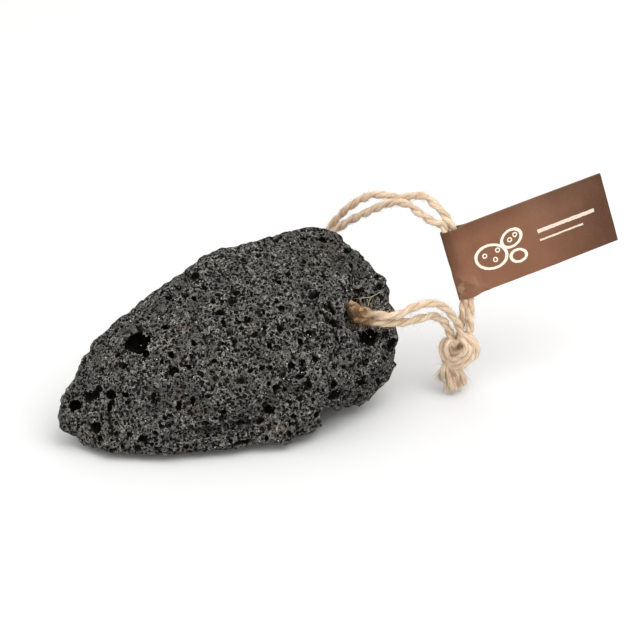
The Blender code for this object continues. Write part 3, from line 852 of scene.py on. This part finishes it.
# ---------------------------------------------------------------------------------------------
# The knot is one overhand knot tied in both strands at once, so it is turns of two-ply jute lying
# on each other round a matted middle, with fibres pulled up.
# Each turn has its thickness beside the loop's own twine, and the points that it runs through.
KNOT_TURNS = {
    "wrap_outer": (1.10, [
        (0.0730, -0.0120, 0.0198), (0.0743, -0.0137, 0.0184), (0.0752, -0.0149, 0.0160),
        (0.0746, -0.0153, 0.0135), (0.0727, -0.0153, 0.0118), (0.0704, -0.0147, 0.0108),
        (0.0685, -0.0136, 0.0104), (0.0676, -0.0125, 0.0112), (0.0678, -0.0115, 0.0126)]),
    "wrap_middle": (1.12, [
        (0.0715, -0.0128, 0.0201), (0.0728, -0.0147, 0.0186), (0.0733, -0.0156, 0.0165),
        (0.0724, -0.0158, 0.0146), (0.0706, -0.0155, 0.0131), (0.0689, -0.0146, 0.0124),
        (0.0679, -0.0132, 0.0126), (0.0681, -0.0120, 0.0137)]),
    "wrap_inner": (1.00, [
        (0.0707, -0.0129, 0.0200), (0.0715, -0.0147, 0.0186), (0.0716, -0.0155, 0.0172),
        (0.0707, -0.0156, 0.0156), (0.0694, -0.0150, 0.0147), (0.0685, -0.0139, 0.0147),
        (0.0685, -0.0128, 0.0156)]),
    "wrap_back": (1.00, [
        (0.0753, -0.0131, 0.0172), (0.0760, -0.0116, 0.0128), (0.0740, -0.0102, 0.0093),
        (0.0708, -0.0100, 0.0079), (0.0679, -0.0102, 0.0095), (0.0668, -0.0103, 0.0123)]),
    "back_high": (0.95, [
        (0.0740, -0.0112, 0.0190), (0.0747, -0.0095, 0.0170), (0.0735, -0.0085, 0.0147),
        (0.0710, -0.0084, 0.0128), (0.0686, -0.0094, 0.0115), (0.0672, -0.0106, 0.0120)]),
    "back_low": (0.95, [
        (0.0756, -0.0122, 0.0152), (0.0746, -0.0099, 0.0130), (0.0722, -0.0089, 0.0110),
        (0.0695, -0.0093, 0.0098), (0.0679, -0.0106, 0.0100)]),
    "back_cross": (0.95, [
        (0.0680, -0.0108, 0.0172), (0.0698, -0.0090, 0.0172), (0.0722, -0.0083, 0.0160),
        (0.0744, -0.0090, 0.0142), (0.0754, -0.0108, 0.0128)]),
    "lobe_left": (1.05, [
        (0.0703, -0.0109, 0.0155), (0.0683, -0.0110, 0.0174), (0.0666, -0.0111, 0.0176),
        (0.0658, -0.0112, 0.0160), (0.0658, -0.0113, 0.0136), (0.0665, -0.0116, 0.0113),
        (0.0676, -0.0116, 0.0090)]),
    "lobe_right": (1.05, [
        (0.0699, -0.0124, 0.0164), (0.0683, -0.0127, 0.0178), (0.0670, -0.0127, 0.0173),
        (0.0665, -0.0126, 0.0153), (0.0669, -0.0127, 0.0128), (0.0679, -0.0126, 0.0105),
        (0.0689, -0.0124, 0.0085)]),
    "end_first": (0.90, [
        (0.0711, -0.0131, 0.0177), (0.0699, -0.0132, 0.0178), (0.0691, -0.0132, 0.0162),
        (0.0695, -0.0125, 0.0140)]),
    "end_second": (0.90, [
        (0.0688, -0.0118, 0.0173), (0.0685, -0.0127, 0.0178), (0.0688, -0.0135, 0.0170),
        (0.0699, -0.0131, 0.0150)]),
}
KNOT_MIDDLE = ((0.0705, -0.0117, 0.0136), (0.0040, 0.0032, 0.0046))
# The waves of its radius: how high, and how many as it turns and as it rises.
MIDDLE_WAVES = [(0.07, 5, 3), (0.06, -2, 9)]
MIDDLE_AROUND, MIDDLE_UP = 40, 24
# The share of painted shade on the matted middle.
MIDDLE_SHADE = 0.9
MIDDLE_HAIRS = 900
MIDDLE_SEED = 55
# Its fibres: how far out they start, how wildly they point and bend, how long and how wide.
MIDDLE_ROOTS = (0.9, 1.15)
MIDDLE_WILD = 0.9
MIDDLE_BEND = 0.5
MIDDLE_LENGTHS = (0.0006, 0.0024)
MIDDLE_WIDTHS = (0.00008, 0.00020)
TURN_PHASE = 1.7
TWINE_PITCH = 0.0105
KNOT_PITCH = 0.0150
PLY = 0.00081
PLY_APART = 0.00049
# Slow slubs along a ply: how high, their wave, and what the ply and the phase add to it.
SLUBS = [(0.10, 0.0163, 3.1, 1), (0.07, 0.0071, 1.3, 2), (0.05, 0.0037, 5.3, 3)]
# Fibre ridges round a ply: how high, how many, their twist, and the same two.
RIDGES = [(0.025, 5, 0.0210, 1, 0), (0.030, 8, -0.0130, 0, 2), (0.035, 3, 0.0043, 4, 0)]
LAY_SCALE = 120
MATTED_SCALE = 1500
STRAND_STEP = 0.00025
STRAND_SIDES = 18
CURVE_STEPS = 12
HAIR_RINGS = 4
HAIR_SIDES = 3
HAIR_TAPER = 0.7
HAIR_LAYS = 40
# No route runs along this way, so it can give each a first direction square to it.
SQUARE_TO = unit(np.array((-0.25, -0.71, 0.66)))
JUTE = (0.705, 0.515, 0.355)
JUTE_PALE = (0.900, 0.780, 0.610)
JUTE_BROWN = (0.400, 0.240, 0.135)
JUTE_GREEN = (0.520, 0.470, 0.270)
JUTE_PINK = (0.780, 0.520, 0.400)
JUTE_SHADE = (0.230, 0.130, 0.070)
# Patches of colour: the middle of each place, its reach, its colour and how strong. The first,
# reddish brown at the hole's mouth, is painted shade; the second darkens the knot near its middle;
# the rest are the cut tails' own colours.
STAINS_AND_SHADE = [
    ((0.0385, -0.0118, 0.0322), 0.0070, (0.210, 0.100, 0.032), 1.00),
    ((0.0690, -0.0140, 0.0158), 0.0024, (0.170, 0.085, 0.040), 0.75),
    ((0.0659, -0.0120, 0.0062), 0.0026, (0.300, 0.290, 0.190), 0.75),
    ((0.0659, -0.0121, 0.0044), 0.0012, (0.090, 0.085, 0.045), 0.70),
    ((0.0702, -0.0131, 0.0060), 0.0013, (0.420, 0.190, 0.080), 0.80),
]


def smooth_route(points, step):
    """Points at even steps along a Catmull-Rom curve through the route's own points."""
    route = np.array(points)
    ends = (2 * route[:1] - route[1:2], route, 2 * route[-1:] - route[-2:-1])
    knots = np.concatenate(ends)
    part = np.linspace(0, 1, CURVE_STEPS, endpoint=False)[None, :, None]
    before, start, end, after = (knots[i:len(knots) - 3 + i, None] for i in range(4))
    fine = 0.5 * (2 * start + (end - before) * part
                  + (2 * before - 5 * start + 4 * end - after) * part ** 2
                  + (3 * start - before - 3 * end + after) * part ** 3)
    fine = np.concatenate([fine.reshape(-1, 3), knots[-2:-1]])
    reach = np.concatenate([[0], np.cumsum(np.linalg.norm(np.diff(fine, axis=0), axis=1))])
    marks = np.linspace(0, reach[-1], max(2, round(reach[-1] / step)) + 1)
    return np.stack([np.interp(marks, reach, fine[:, axis]) for axis in range(3)], axis=1)


def frames_along(route):
    """The way the route runs at each point, two directions square to it that don't twist round it,
    and the distance so far: the turning of a first guess is summed up and taken out again."""
    along = unit(np.gradient(route, axis=0))
    side = unit(np.cross(along, SQUARE_TO))
    other = np.cross(along, side)
    turn = np.cumsum((np.gradient(side, axis=0) * other).sum(axis=1))[:, None]
    reach = np.concatenate([[0], np.cumsum(np.linalg.norm(np.diff(route, axis=0), axis=1))])
    return (along, np.cos(turn) * side - np.sin(turn) * other,
            np.sin(turn) * side + np.cos(turn) * other, reach)


def tube_faces(rings, sides):
    """The faces of a tube of rings: quads between them, and a fan to a middle point at each end.
    The two middle points are numbered after the rings."""
    ring = np.arange(sides)
    after = (ring + 1) % sides
    start = rings * sides
    last = start - sides
    fans = np.concatenate([
        np.stack([np.full(sides, start), after, ring], axis=-1),
        np.stack([np.full(sides, start + 1), last + ring, last + after], axis=-1)])
    return grid_quads(rings, sides, closed=True), fans


def round_middle(middle, side, other, radius, angle):
    """Points round each middle at a radius and an angle, in the plane of two directions."""
    return (middle[..., None, :] + (radius * np.cos(angle))[..., None] * side[..., None, :]
            + (radius * np.sin(angle))[..., None] * other[..., None, :])


def joined(parts):
    """Several surfaces, each its points, quads, triangles, lay and painted crevice shade, as one.
    """
    points, quads, triangles, lay, crevice_shade = zip(*parts)
    counts = np.cumsum([0] + [len(part) for part in points[:-1]])
    return (np.concatenate(points),
            np.concatenate([part + count for part, count in zip(quads, counts)]),
            np.concatenate([part + count for part, count in zip(triangles, counts)]),
            np.concatenate(lay), np.concatenate(crevice_shade))


def laid_strand(points, pitch=TWINE_PITCH, size=1.0, phase=0.0, loose=None):
    """A two-ply strand along a route. Each ply is a tube whose middle winds round the route, half
    a turn from the other; its radius is rippled by fibre ridges that run with it and by slow slubs.
    A function loose says how much thicker and further apart the plies are at each distance."""
    route = smooth_route(points, STRAND_STEP)
    _, side, other, reach = frames_along(route)
    open_up = np.ones(len(route)) if loose is None else loose(reach)
    around = np.arange(STRAND_SIDES) * 2 * np.pi / STRAND_SIDES
    plies = []
    for ply in range(2):
        turn = phase + ply * np.pi - 2 * np.pi * reach / pitch
        slub, ridge = 1, 1
        for height, wave, by_ply, by_phase in SLUBS:
            slub = slub + height * np.sin(2 * np.pi * reach / wave + by_ply * ply
                                          + by_phase * phase)
        drift = reach[:, None] * 2 * np.pi
        for height, count, twist, by_ply, by_phase in RIDGES:
            ridge = ridge + height * np.sin(count * around + drift / twist + by_ply * ply
                                            + by_phase * phase)
        reach_out = size * PLY_APART * open_up
        middle = route + reach_out[:, None] * (np.cos(turn)[:, None] * side
                                               + np.sin(turn)[:, None] * other)
        radius = size * PLY * (slub * open_up ** 0.7)[:, None] * ridge
        skin = round_middle(middle, side, other, radius, turn[:, None] + around)
        spots = np.concatenate([skin.reshape(-1, 3), middle[:1], middle[-1:]])
        quads, fans = tube_faces(len(route), STRAND_SIDES)
        lay = np.stack(np.broadcast_arrays(np.cos(around) + 5 * ply + phase, np.sin(around),
                                           reach[:, None] * LAY_SCALE), axis=-1).reshape(-1, 3)
        # The share of painted shade: full where the ply faces the other ply, none on its outside.
        crevice_shade = np.broadcast_to((1 - np.cos(around)) / 2, skin.shape[:2]).ravel()
        plies.append((spots, quads, fans, np.concatenate([lay, lay[:2]]),
                      np.concatenate([crevice_shade, [1, 1]])))
    return joined(plies)


def matted_middle(centre, half_sizes):
    """A lumpy ball that closes the gaps between the turns: an ellipsoid whose radius goes up and
    down with waves of its two angles."""
    turn, rise = np.meshgrid(np.linspace(0, 2 * np.pi, MIDDLE_AROUND, endpoint=False),
                             np.linspace(-0.5, 0.5, MIDDLE_UP)[1:-1] * np.pi)
    radius = 1
    for height, turning, rising in MIDDLE_WAVES:
        radius = radius + height * np.sin(turning * turn + rising * rise)
    ball = np.stack([np.cos(rise) * np.cos(turn), np.cos(rise) * np.sin(turn), np.sin(rise)],
                    axis=-1)
    spots = (centre + ball * radius[..., None] * half_sizes).reshape(-1, 3)
    poles = np.array(centre) + np.array([(0, 0, -1), (0, 0, 1)]) * half_sizes
    quads, fans = tube_faces(*turn.shape)
    points = np.concatenate([spots, poles])
    # Its whole skin gets the matted middle's share of painted shade.
    return points, quads, fans, points * MATTED_SCALE, np.full(len(points), MIDDLE_SHADE)


def hairs(roots, ways, bends, lengths, widths, draw):
    """Many fine hairs as one surface. Each runs from its root along its way, bent by its bend
    times the square of the share of its length; three-sided and tapering to its tip."""
    part = np.linspace(0, 1, HAIR_RINGS)[None, :, None]
    line = roots[:, None] + lengths[:, None, None] * (ways[:, None] * part
                                                      + bends[:, None] * part ** 2)
    along = unit(np.gradient(line, axis=1))
    side = unit(np.cross(along, unit(draw.normal(size=roots.shape))[:, None]))
    other = np.cross(along, side)
    around = np.arange(HAIR_SIDES) * 2 * np.pi / HAIR_SIDES
    radius = widths[:, None, None] / 2 * (1 - HAIR_TAPER * part)
    skin = round_middle(line, side, other, radius, around)
    each = HAIR_RINGS * HAIR_SIDES
    starts = np.arange(len(roots))[:, None, None] * each
    quads = (grid_quads(HAIR_RINGS, HAIR_SIDES, closed=True)[None] + starts).reshape(-1, 4)
    ends = np.array([(2, 1, 0), (each - 3, each - 2, each - 1)])
    triangles = (ends[None] + starts).reshape(-1, 3)
    lay = np.repeat(draw.uniform(0, HAIR_LAYS, roots.shape), each, axis=0)
    return skin.reshape(-1, 3), quads, triangles, lay, np.zeros(len(lay))


def middle_fibres(centre, half_sizes):
    """Short fibres that stand off the matted middle on all sides."""
    draw = np.random.default_rng(MIDDLE_SEED)
    out = unit(draw.normal(size=(MIDDLE_HAIRS, 3)))
    roots = centre + out * half_sizes * draw.uniform(*MIDDLE_ROOTS, MIDDLE_HAIRS)[:, None]
    ways = unit(out + MIDDLE_WILD * draw.normal(size=roots.shape))
    bends = MIDDLE_BEND * draw.normal(size=roots.shape)
    return hairs(roots, ways, bends, draw.uniform(*MIDDLE_LENGTHS, MIDDLE_HAIRS),
                 draw.uniform(*MIDDLE_WIDTHS, MIDDLE_HAIRS), draw)


def jute_mesh(name, surface):
    """A mesh from a surface's points, faces, lay and painted crevice shade."""
    points, quads, triangles, lay, crevice_shade = surface
    mesh = mesh_of(name, points, quads, triangles)
    add_values(mesh, "lay", lay)
    add_values(mesh, "crevice_shade", crevice_shade)
    return mesh


def jute_finish():
    """Dry jute: long fibre streaks of tan, straw, pink, green and brown that run with the ply,
    painted shade where two plies meet and on the knot's matted middle, patches of colour, the
    one at the hole's mouth a painted shade, and a faint fuzz of its own."""
    material, tree, shader, place = material_start("jute", 0.85)
    shader.inputs["Specular IOR Level"].default_value = 0.20
    shader.inputs["Sheen Weight"].default_value = 0.12
    lay = stored(tree, "lay", "Vector")
    streak = noise(tree, lay, 3.2, 4.0)
    fine = noise(tree, lay, 8.0, 3.0)
    hue = noise(tree, lay, 1.1, output="Color")
    tints = add_node(tree, "ShaderNodeSeparateColor", {0: hue}).outputs
    colour = layered(tree, JUTE, [
        (between(tree, streak, 0.44, 0.68), JUTE_PALE),
        (between(tree, tints[0], 0.54, 0.72, 0.0, 0.60), JUTE_PINK),
        (between(tree, tints[1], 0.55, 0.72, 0.0, 0.60), JUTE_GREEN),
        (between(tree, streak, 0.45, 0.26, 0.0, 0.75), JUTE_BROWN),
        (between(tree, fine, 0.42, 0.28, 0.0, 0.45), JUTE_BROWN),
        # Painted shade where two plies meet and on the matted middle.
        (between(tree, stored(tree, "crevice_shade"), 0.55, 0.98, 0.0, 0.60), JUTE_SHADE)])
    # The patches below, broken into blotches; the one at the hole's mouth is painted shade.
    blotched = between(tree, noise(tree, place, 900, 3.0), 0.34, 0.58, 0.65, 1.0)
    for centre, reach, patch_colour, strength in STAINS_AND_SHADE:
        away = add_node(tree, "ShaderNodeVectorMath", {0: place, 1: centre},
                        operation="DISTANCE").outputs["Value"]
        share = between(tree, away, reach, reach * 0.45, 0.0, strength)
        colour = blended(tree, times(tree, share, blotched), colour, patch_colour)
    tree.links.new(colour, shader.inputs["Base Color"])
    relief(tree, shader, maths(tree, "MULTIPLY_ADD", fine, 0.6, streak), 0.8, 0.00020)
    return material


jute = jute_finish()
turns = [laid_strand(route, KNOT_PITCH, size, phase=TURN_PHASE * number)
         for number, (size, route) in enumerate(KNOT_TURNS.values())]
filling = [matted_middle(*KNOT_MIDDLE), middle_fibres(*KNOT_MIDDLE)]
knot = piece_of("overhand_knot", jute_mesh("overhand_knot", joined(turns + filling)), jute)
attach(knot, "root")
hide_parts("knot")


# ---------------------------------------------------------------------------------------------
# The cut tails come out under the knot: the four ends of the two strands, cut with scissors and
# splayed, so that each is a short tuft of single fibres round what is left of its plies.
TAIL_ROUTES = {
    "left": [(0.0674, -0.0119, 0.0099), (0.0664, -0.0118, 0.0083), (0.0659, -0.0119, 0.0066),
             (0.0659, -0.0120, 0.0046)],
    "middle_left": [(0.0677, -0.0123, 0.0104), (0.0677, -0.0127, 0.0082),
                    (0.0677, -0.0132, 0.0052), (0.0676, -0.0138, 0.0018)],
    "middle_right": [(0.0690, -0.0127, 0.0104), (0.0692, -0.0130, 0.0081),
                     (0.0693, -0.0134, 0.0051), (0.0690, -0.0138, 0.0020)],
    "right": [(0.0701, -0.0125, 0.0101), (0.0709, -0.0129, 0.0077), (0.0714, -0.0131, 0.0053),
              (0.0715, -0.0134, 0.0025)],
}
TAIL_HAIRS = 90
# Its fibres: where along it they start, how far out, and how they spread, wander and bend.
TAIL_STARTS = (0.15, 0.80)
TAIL_ROOTS = (0.55, 1.0)
TAIL_SUNK = 0.95
TAIL_SPREAD = 0.22
TAIL_WANDER = 0.10
TAIL_BEND = 0.12
TAIL_UNEVEN = (-0.0004, 0.0006)
TAIL_OPEN = 0.25
TAIL_SEED = 60
TAIL_PHASE = 0.9
TAIL_WIDTHS = (0.00009, 0.00020)
SHORTEST_HAIR = 0.0004
OFF_THE_FLOOR = 0.0002
NEARLY_LEVEL = 0.05


def outward(draw, place, side, other):
    """For each place along a strand a direction square to it, turned at random."""
    angle = draw.uniform(0, 2 * np.pi, len(place))[:, None]
    return np.cos(angle) * side[place] + np.sin(angle) * other[place]


def tail_tuft(points, number):
    """One tail: its plies, and the fibres that fan out from them towards the cut."""
    draw = np.random.default_rng(TAIL_SEED + number)
    strand = laid_strand(points, KNOT_PITCH, 1.0, phase=TAIL_PHASE * number,
                         loose=lambda reach: 1 + TAIL_OPEN * (reach / reach[-1]))
    route = smooth_route(points, STRAND_STEP)
    along, side, other, reach = frames_along(route)
    place = (draw.uniform(*TAIL_STARTS, TAIL_HAIRS) * (len(route) - 1)).astype(int)
    out = outward(draw, place, side, other)
    away = draw.uniform(*TAIL_ROOTS, TAIL_HAIRS)[:, None]
    roots = route[place] + out * away * (PLY + PLY_APART) * TAIL_SUNK
    ways = unit(along[place] + out * draw.uniform(0.0, TAIL_SPREAD, TAIL_HAIRS)[:, None]
                + TAIL_WANDER * draw.normal(size=roots.shape))
    bends = TAIL_BEND * draw.normal(size=roots.shape)
    left = reach[-1] - reach[place] + draw.uniform(*TAIL_UNEVEN, TAIL_HAIRS)
    longest = (roots[:, 2] - OFF_THE_FLOOR) / np.maximum(-(ways + bends)[:, 2], NEARLY_LEVEL)
    lengths = np.clip(left, SHORTEST_HAIR, np.maximum(longest, SHORTEST_HAIR))
    return joined([strand, hairs(roots, ways, bends, lengths,
                                 draw.uniform(*TAIL_WIDTHS, TAIL_HAIRS), draw)])


tufts = [tail_tuft(points, number) for number, points in enumerate(TAIL_ROUTES.values())]
tails = piece_of("cut_tails", jute_mesh("cut_tails", joined(tufts)), jute)
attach(tails, "root")
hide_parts("tail_left", "tail_middle", "tail_right")


# ---------------------------------------------------------------------------------------------
# The loop is two runs of one two-ply jute twine. Each leaves the knot, goes through the drilled
# hole from front to back, over the top, down inside the tag's fold and back to the knot. Their
# plies have opened where they rub in the hole's mouth, and loose fibres stand off all along.
ROUTE_FIRST = [
    (0.0711, -0.0131, 0.0177), (0.0704, -0.0134, 0.0223), (0.0684, -0.0136, 0.0264),
    (0.0659, -0.0137, 0.0300), (0.0624, -0.0139, 0.0326), (0.0585, -0.0140, 0.0333),
    (0.0543, -0.0141, 0.0326), (0.0500, -0.0145, 0.0314), (0.0456, -0.0144, 0.0318),
    (0.0412, -0.0142, 0.0331), (0.0379, -0.0122, 0.0337), (0.0369, -0.0060, 0.0331),
    (0.0365, 0.0010, 0.0331), (0.0372, 0.0080, 0.0327), (0.0386, 0.0150, 0.0324),
    (0.0398, 0.0220, 0.0324), (0.0403, 0.0275, 0.0329), (0.0410, 0.0312, 0.0338),
    (0.0424, 0.0331, 0.0362), (0.0447, 0.0325, 0.0402), (0.0471, 0.0301, 0.0450),
    (0.0491, 0.0268, 0.0491), (0.0513, 0.0238, 0.0523), (0.0535, 0.0208, 0.0547),
    (0.0559, 0.0181, 0.0558), (0.0583, 0.0154, 0.0559), (0.0606, 0.0125, 0.0563),
    (0.0627, 0.0094, 0.0580), (0.0648, 0.0061, 0.0594), (0.0664, 0.0025, 0.0589),
    (0.0680, -0.0012, 0.0572), (0.0698, -0.0035, 0.0546), (0.0708, -0.0046, 0.0515),
    (0.0730, -0.0069, 0.0417), (0.0752, -0.0092, 0.0322), (0.0749, -0.0104, 0.0284),
    (0.0745, -0.0113, 0.0247), (0.0742, -0.0120, 0.0213), (0.0736, -0.0123, 0.0178),
]
ROUTE_SECOND = [
    (0.0688, -0.0118, 0.0173), (0.0676, -0.0121, 0.0209), (0.0661, -0.0126, 0.0241),
    (0.0640, -0.0130, 0.0268), (0.0611, -0.0132, 0.0283), (0.0578, -0.0135, 0.0284),
    (0.0543, -0.0136, 0.0281), (0.0500, -0.0136, 0.0282), (0.0457, -0.0138, 0.0290),
    (0.0416, -0.0140, 0.0304), (0.0381, -0.0124, 0.0312), (0.0377, -0.0060, 0.0307),
    (0.0388, 0.0010, 0.0317), (0.0397, 0.0080, 0.0329), (0.0400, 0.0150, 0.0343),
    (0.0398, 0.0220, 0.0350), (0.0402, 0.0266, 0.0354), (0.0414, 0.0294, 0.0364),
    (0.0433, 0.0303, 0.0381), (0.0455, 0.0292, 0.0406), (0.0479, 0.0270, 0.0435),
    (0.0501, 0.0243, 0.0462), (0.0522, 0.0212, 0.0488), (0.0543, 0.0181, 0.0514),
    (0.0565, 0.0150, 0.0538), (0.0582, 0.0122, 0.0553), (0.0597, 0.0096, 0.0562),
    (0.0612, 0.0070, 0.0563), (0.0628, 0.0041, 0.0552), (0.0646, 0.0013, 0.0541),
    (0.0661, -0.0019, 0.0536), (0.0679, -0.0036, 0.0533), (0.0685, -0.0045, 0.0512),
    (0.0708, -0.0069, 0.0412), (0.0730, -0.0093, 0.0317), (0.0729, -0.0097, 0.0282),
    (0.0725, -0.0099, 0.0247), (0.0722, -0.0102, 0.0213), (0.0714, -0.0102, 0.0177),
]
FIRST_PHASE = 0.6
SECOND_PHASE = 2.1
# How far along each strand the hole's mouth lies, and how much looser the plies are there.
FIRST_MOUTH = 0.0440
SECOND_MOUTH = 0.0395
MOUTH_REACH = 0.0048
MOUTH_LOOSE = 0.50
# Where the tag's middle lies before the end, and how much it presses the plies together.
TAG_BEFORE_END = 0.0250
TAG_PRESS_REACH = 0.0100
TAG_PRESS = 0.19
# Along the strand and square to the card, what no fibre may grow into.
KEEP_OFF_DOWN = 0.0010
KEEP_OFF_ALONG = (-0.004, 0.012)
# The fine fibres: how deep they start, how they stand up, wander and bend, and their length,
# which is the first number and up to the second more, mostly less.
FUZZ_PER_METRE = 14000
FUZZ_SUNK = 0.82
FUZZ_RISE = (0.05, 1.0)
FUZZ_LYING = 1.5
FUZZ_WANDER = 0.20
FUZZ_BEND = 0.30
FUZZ_LENGTHS = (0.0008, 0.0024)
FUZZ_SHORT = 2.5
FUZZ_WIDTHS = (0.00005, 0.00011)
FUZZ_SEEDS = (71, 72)
# The tuft at the mouth: the same, and how far along and out its fibres point.
MOUTH_HAIRS = 150
MOUTH_BEFORE = 0.001
MOUTH_SPREAD = 0.0032
MOUTH_SUNK = 0.9
MOUTH_ALONG = 0.8
MOUTH_OUT = 0.7
MOUTH_WANDER = 0.45
MOUTH_BEND = 0.45
MOUTH_LENGTHS = (0.0010, 0.0034)
MOUTH_WIDTHS = (0.00005, 0.00012)
MOUTH_DROOP = np.array((0, 0.25, 0.15))
MOUTH_SEEDS = (73, 74)
# The long fibre over the mouth, and the shorter one that forks from it.
LONG_FIBRE = 0.00015
LONG_LAY = 7.3
LONG_FIBRES = [
    [(0.0397, -0.0012, 0.0319), (0.0408, -0.0062, 0.0345), (0.0444, -0.0046, 0.0334),
     (0.0479, -0.0022, 0.0330), (0.0507, -0.0004, 0.0333)],
    [(0.0455, -0.0036, 0.0331), (0.0436, -0.0060, 0.0330), (0.0424, -0.0080, 0.0322)],
]


def outside_tag(spots):
    """Which spots are not between the tag's two leaves, so that no fibre grows through the card."""
    down = (spots - TAG_CORNER) @ unit(TAG_FOLD)
    along = (spots - TAG_CORNER) @ unit(TAG_LONG)
    return ((down < -KEEP_OFF_DOWN) | (down > TAG_HEIGHT + KEEP_OFF_DOWN)
            | (along < KEEP_OFF_ALONG[0]) | (along > KEEP_OFF_ALONG[1]))


def opened_at(mouth):
    """How open the plies are: a bell curve round the hole's mouth makes them looser, and a flat
    one along the tag, which lies a fixed way before the end, presses them together."""
    return lambda reach: (1 + MOUTH_LOOSE * np.exp(-((reach - mouth) / MOUTH_REACH) ** 2)
                          - TAG_PRESS * np.exp(-((reach - reach[-1] + TAG_BEFORE_END)
                                                 / TAG_PRESS_REACH) ** 8))


def fuzz(points, seed):
    """Fine fibres that stand off a strand all along: most lie nearly with it, some stand up."""
    draw = np.random.default_rng(seed)
    route = smooth_route(points, STRAND_STEP)
    along, side, other, reach = frames_along(route)
    place = draw.integers(0, len(route), int(FUZZ_PER_METRE * reach[-1]))
    place = place[outside_tag(route[place])]
    count = len(place)
    out = outward(draw, place, side, other)
    roots = route[place] + out * (PLY + PLY_APART) * FUZZ_SUNK
    sense = draw.choice([-1.0, 1.0], count)[:, None]
    rise = draw.uniform(*FUZZ_RISE, count)[:, None] ** FUZZ_LYING
    ways = unit(sense * along[place] + out * rise + FUZZ_WANDER * draw.normal(size=roots.shape))
    bends = FUZZ_BEND * draw.normal(size=roots.shape)
    lengths = FUZZ_LENGTHS[0] + FUZZ_LENGTHS[1] * draw.random(count) ** FUZZ_SHORT
    return hairs(roots, ways, bends, lengths, draw.uniform(*FUZZ_WIDTHS, count), draw)


def mouth_fibres(points, mouth, seed):
    """The tuft of longer fibres that has worked loose where a strand enters the hole."""
    draw = np.random.default_rng(seed)
    route = smooth_route(points, STRAND_STEP)
    along, side, other, reach = frames_along(route)
    spot = np.clip(draw.normal(mouth - MOUTH_BEFORE, MOUTH_SPREAD, MOUTH_HAIRS), 0, reach[-1])
    place = np.searchsorted(reach, spot).clip(0, len(route) - 1)
    out = outward(draw, place, side, other)
    roots = route[place] + out * (PLY + PLY_APART) * MOUTH_SUNK
    sense = draw.choice([-1.0, 1.0], MOUTH_HAIRS)[:, None]
    ways = unit(MOUTH_ALONG * sense * along[place] + MOUTH_OUT * out
                + MOUTH_WANDER * draw.normal(size=roots.shape) - MOUTH_DROOP)
    bends = MOUTH_BEND * draw.normal(size=roots.shape)
    lengths = MOUTH_LENGTHS[0] + MOUTH_LENGTHS[1] * draw.random(MOUTH_HAIRS) ** 2
    return hairs(roots, ways, bends, lengths, draw.uniform(*MOUTH_WIDTHS, MOUTH_HAIRS), draw)


def thread(points, width):
    """One long single fibre: a thin round tube along a route."""
    route = smooth_route(points, STRAND_STEP)
    _, side, other, _ = frames_along(route)
    around = np.arange(HAIR_SIDES) * 2 * np.pi / HAIR_SIDES
    skin = round_middle(route, side, other, width / 2, around)
    spots = np.concatenate([skin.reshape(-1, 3), route[:1], route[-1:]])
    quads, fans = tube_faces(len(route), HAIR_SIDES)
    return spots, quads, fans, np.full(spots.shape, LONG_LAY), np.zeros(len(spots))


strand = laid_strand(ROUTE_FIRST, phase=FIRST_PHASE, loose=opened_at(FIRST_MOUTH))
first = piece_of("laid_twine_first", jute_mesh("laid_twine_first", strand), jute)
strand = laid_strand(ROUTE_SECOND, phase=SECOND_PHASE, loose=opened_at(SECOND_MOUTH))
second = piece_of("laid_twine_second", jute_mesh("laid_twine_second", strand), jute)
fibres = piece_of("loose_fibres", jute_mesh("loose_fibres", joined([
    fuzz(ROUTE_FIRST, FUZZ_SEEDS[0]), fuzz(ROUTE_SECOND, FUZZ_SEEDS[1]),
    mouth_fibres(ROUTE_FIRST, FIRST_MOUTH, MOUTH_SEEDS[0]),
    mouth_fibres(ROUTE_SECOND, SECOND_MOUTH, MOUTH_SEEDS[1])]
    + [thread(points, LONG_FIBRE) for points in LONG_FIBRES])), jute)
for piece in (first, second, fibres):
    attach(piece, "root")
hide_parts("twine_first")
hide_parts("twine_second")


# ---------------------------------------------------------------------------------------------
# The floor and the light: a white table under a wide, soft white sky, a little brighter above and
# to the left, and one big soft lamp in front and to the right. None of it belongs to the stone.
FLOOR_HALF = 3.0
FLOOR_WHITE = (0.73, 0.73, 0.726)
SKY_WAY = (-0.48, 0.20, 0.85)
SKY_FROM = -0.6
SKY_DIM = 0.74
SKY_BRIGHT = 1.20
LAMP_POWER = 6.0
LAMP_SIZE = 0.9
LAMP_PLACE = Vector((0.34, -0.36, 1.00))


def studio():
    """One flat square of floor, the sky and the lamp."""
    spots = np.array([(-1, -1, 0), (1, -1, 0), (1, 1, 0), (-1, 1, 0)]) * FLOOR_HALF
    material, tree, shader, _ = material_start("white_table", 0.9)
    shader.inputs["Base Color"].default_value = (*FLOOR_WHITE, 1.0)
    floor = piece_of("floor", mesh_of("floor", spots, np.array([[0, 1, 2, 3]])), material)
    world = bpy.data.worlds.new("sky")
    world.use_nodes = True
    tree = world.node_tree
    sky = tree.nodes["Background"]
    sky.inputs["Color"].default_value = (1.0, 1.0, 1.0, 1.0)
    way = tree.nodes.new("ShaderNodeTexCoord").outputs["Generated"]
    towards = add_node(tree, "ShaderNodeVectorMath", {0: way, 1: SKY_WAY},
                       operation="DOT_PRODUCT").outputs["Value"]
    tree.links.new(between(tree, towards, SKY_FROM, 1.0, SKY_DIM, SKY_BRIGHT),
                   sky.inputs["Strength"])
    bpy.context.scene.world = world
    lamp = bpy.data.lights.new("lamp", "AREA")
    lamp.shape = "DISK"
    lamp.size = LAMP_SIZE
    lamp.energy = LAMP_POWER
    holder = bpy.data.objects.new("lamp", lamp)
    holder.location = LAMP_PLACE
    holder.rotation_euler = (AIM - LAMP_PLACE).to_track_quat("-Z", "Y").to_euler()
    bpy.context.scene.collection.objects.link(holder)


studio()
bpy.context.scene.view_settings.view_transform = "Standard"
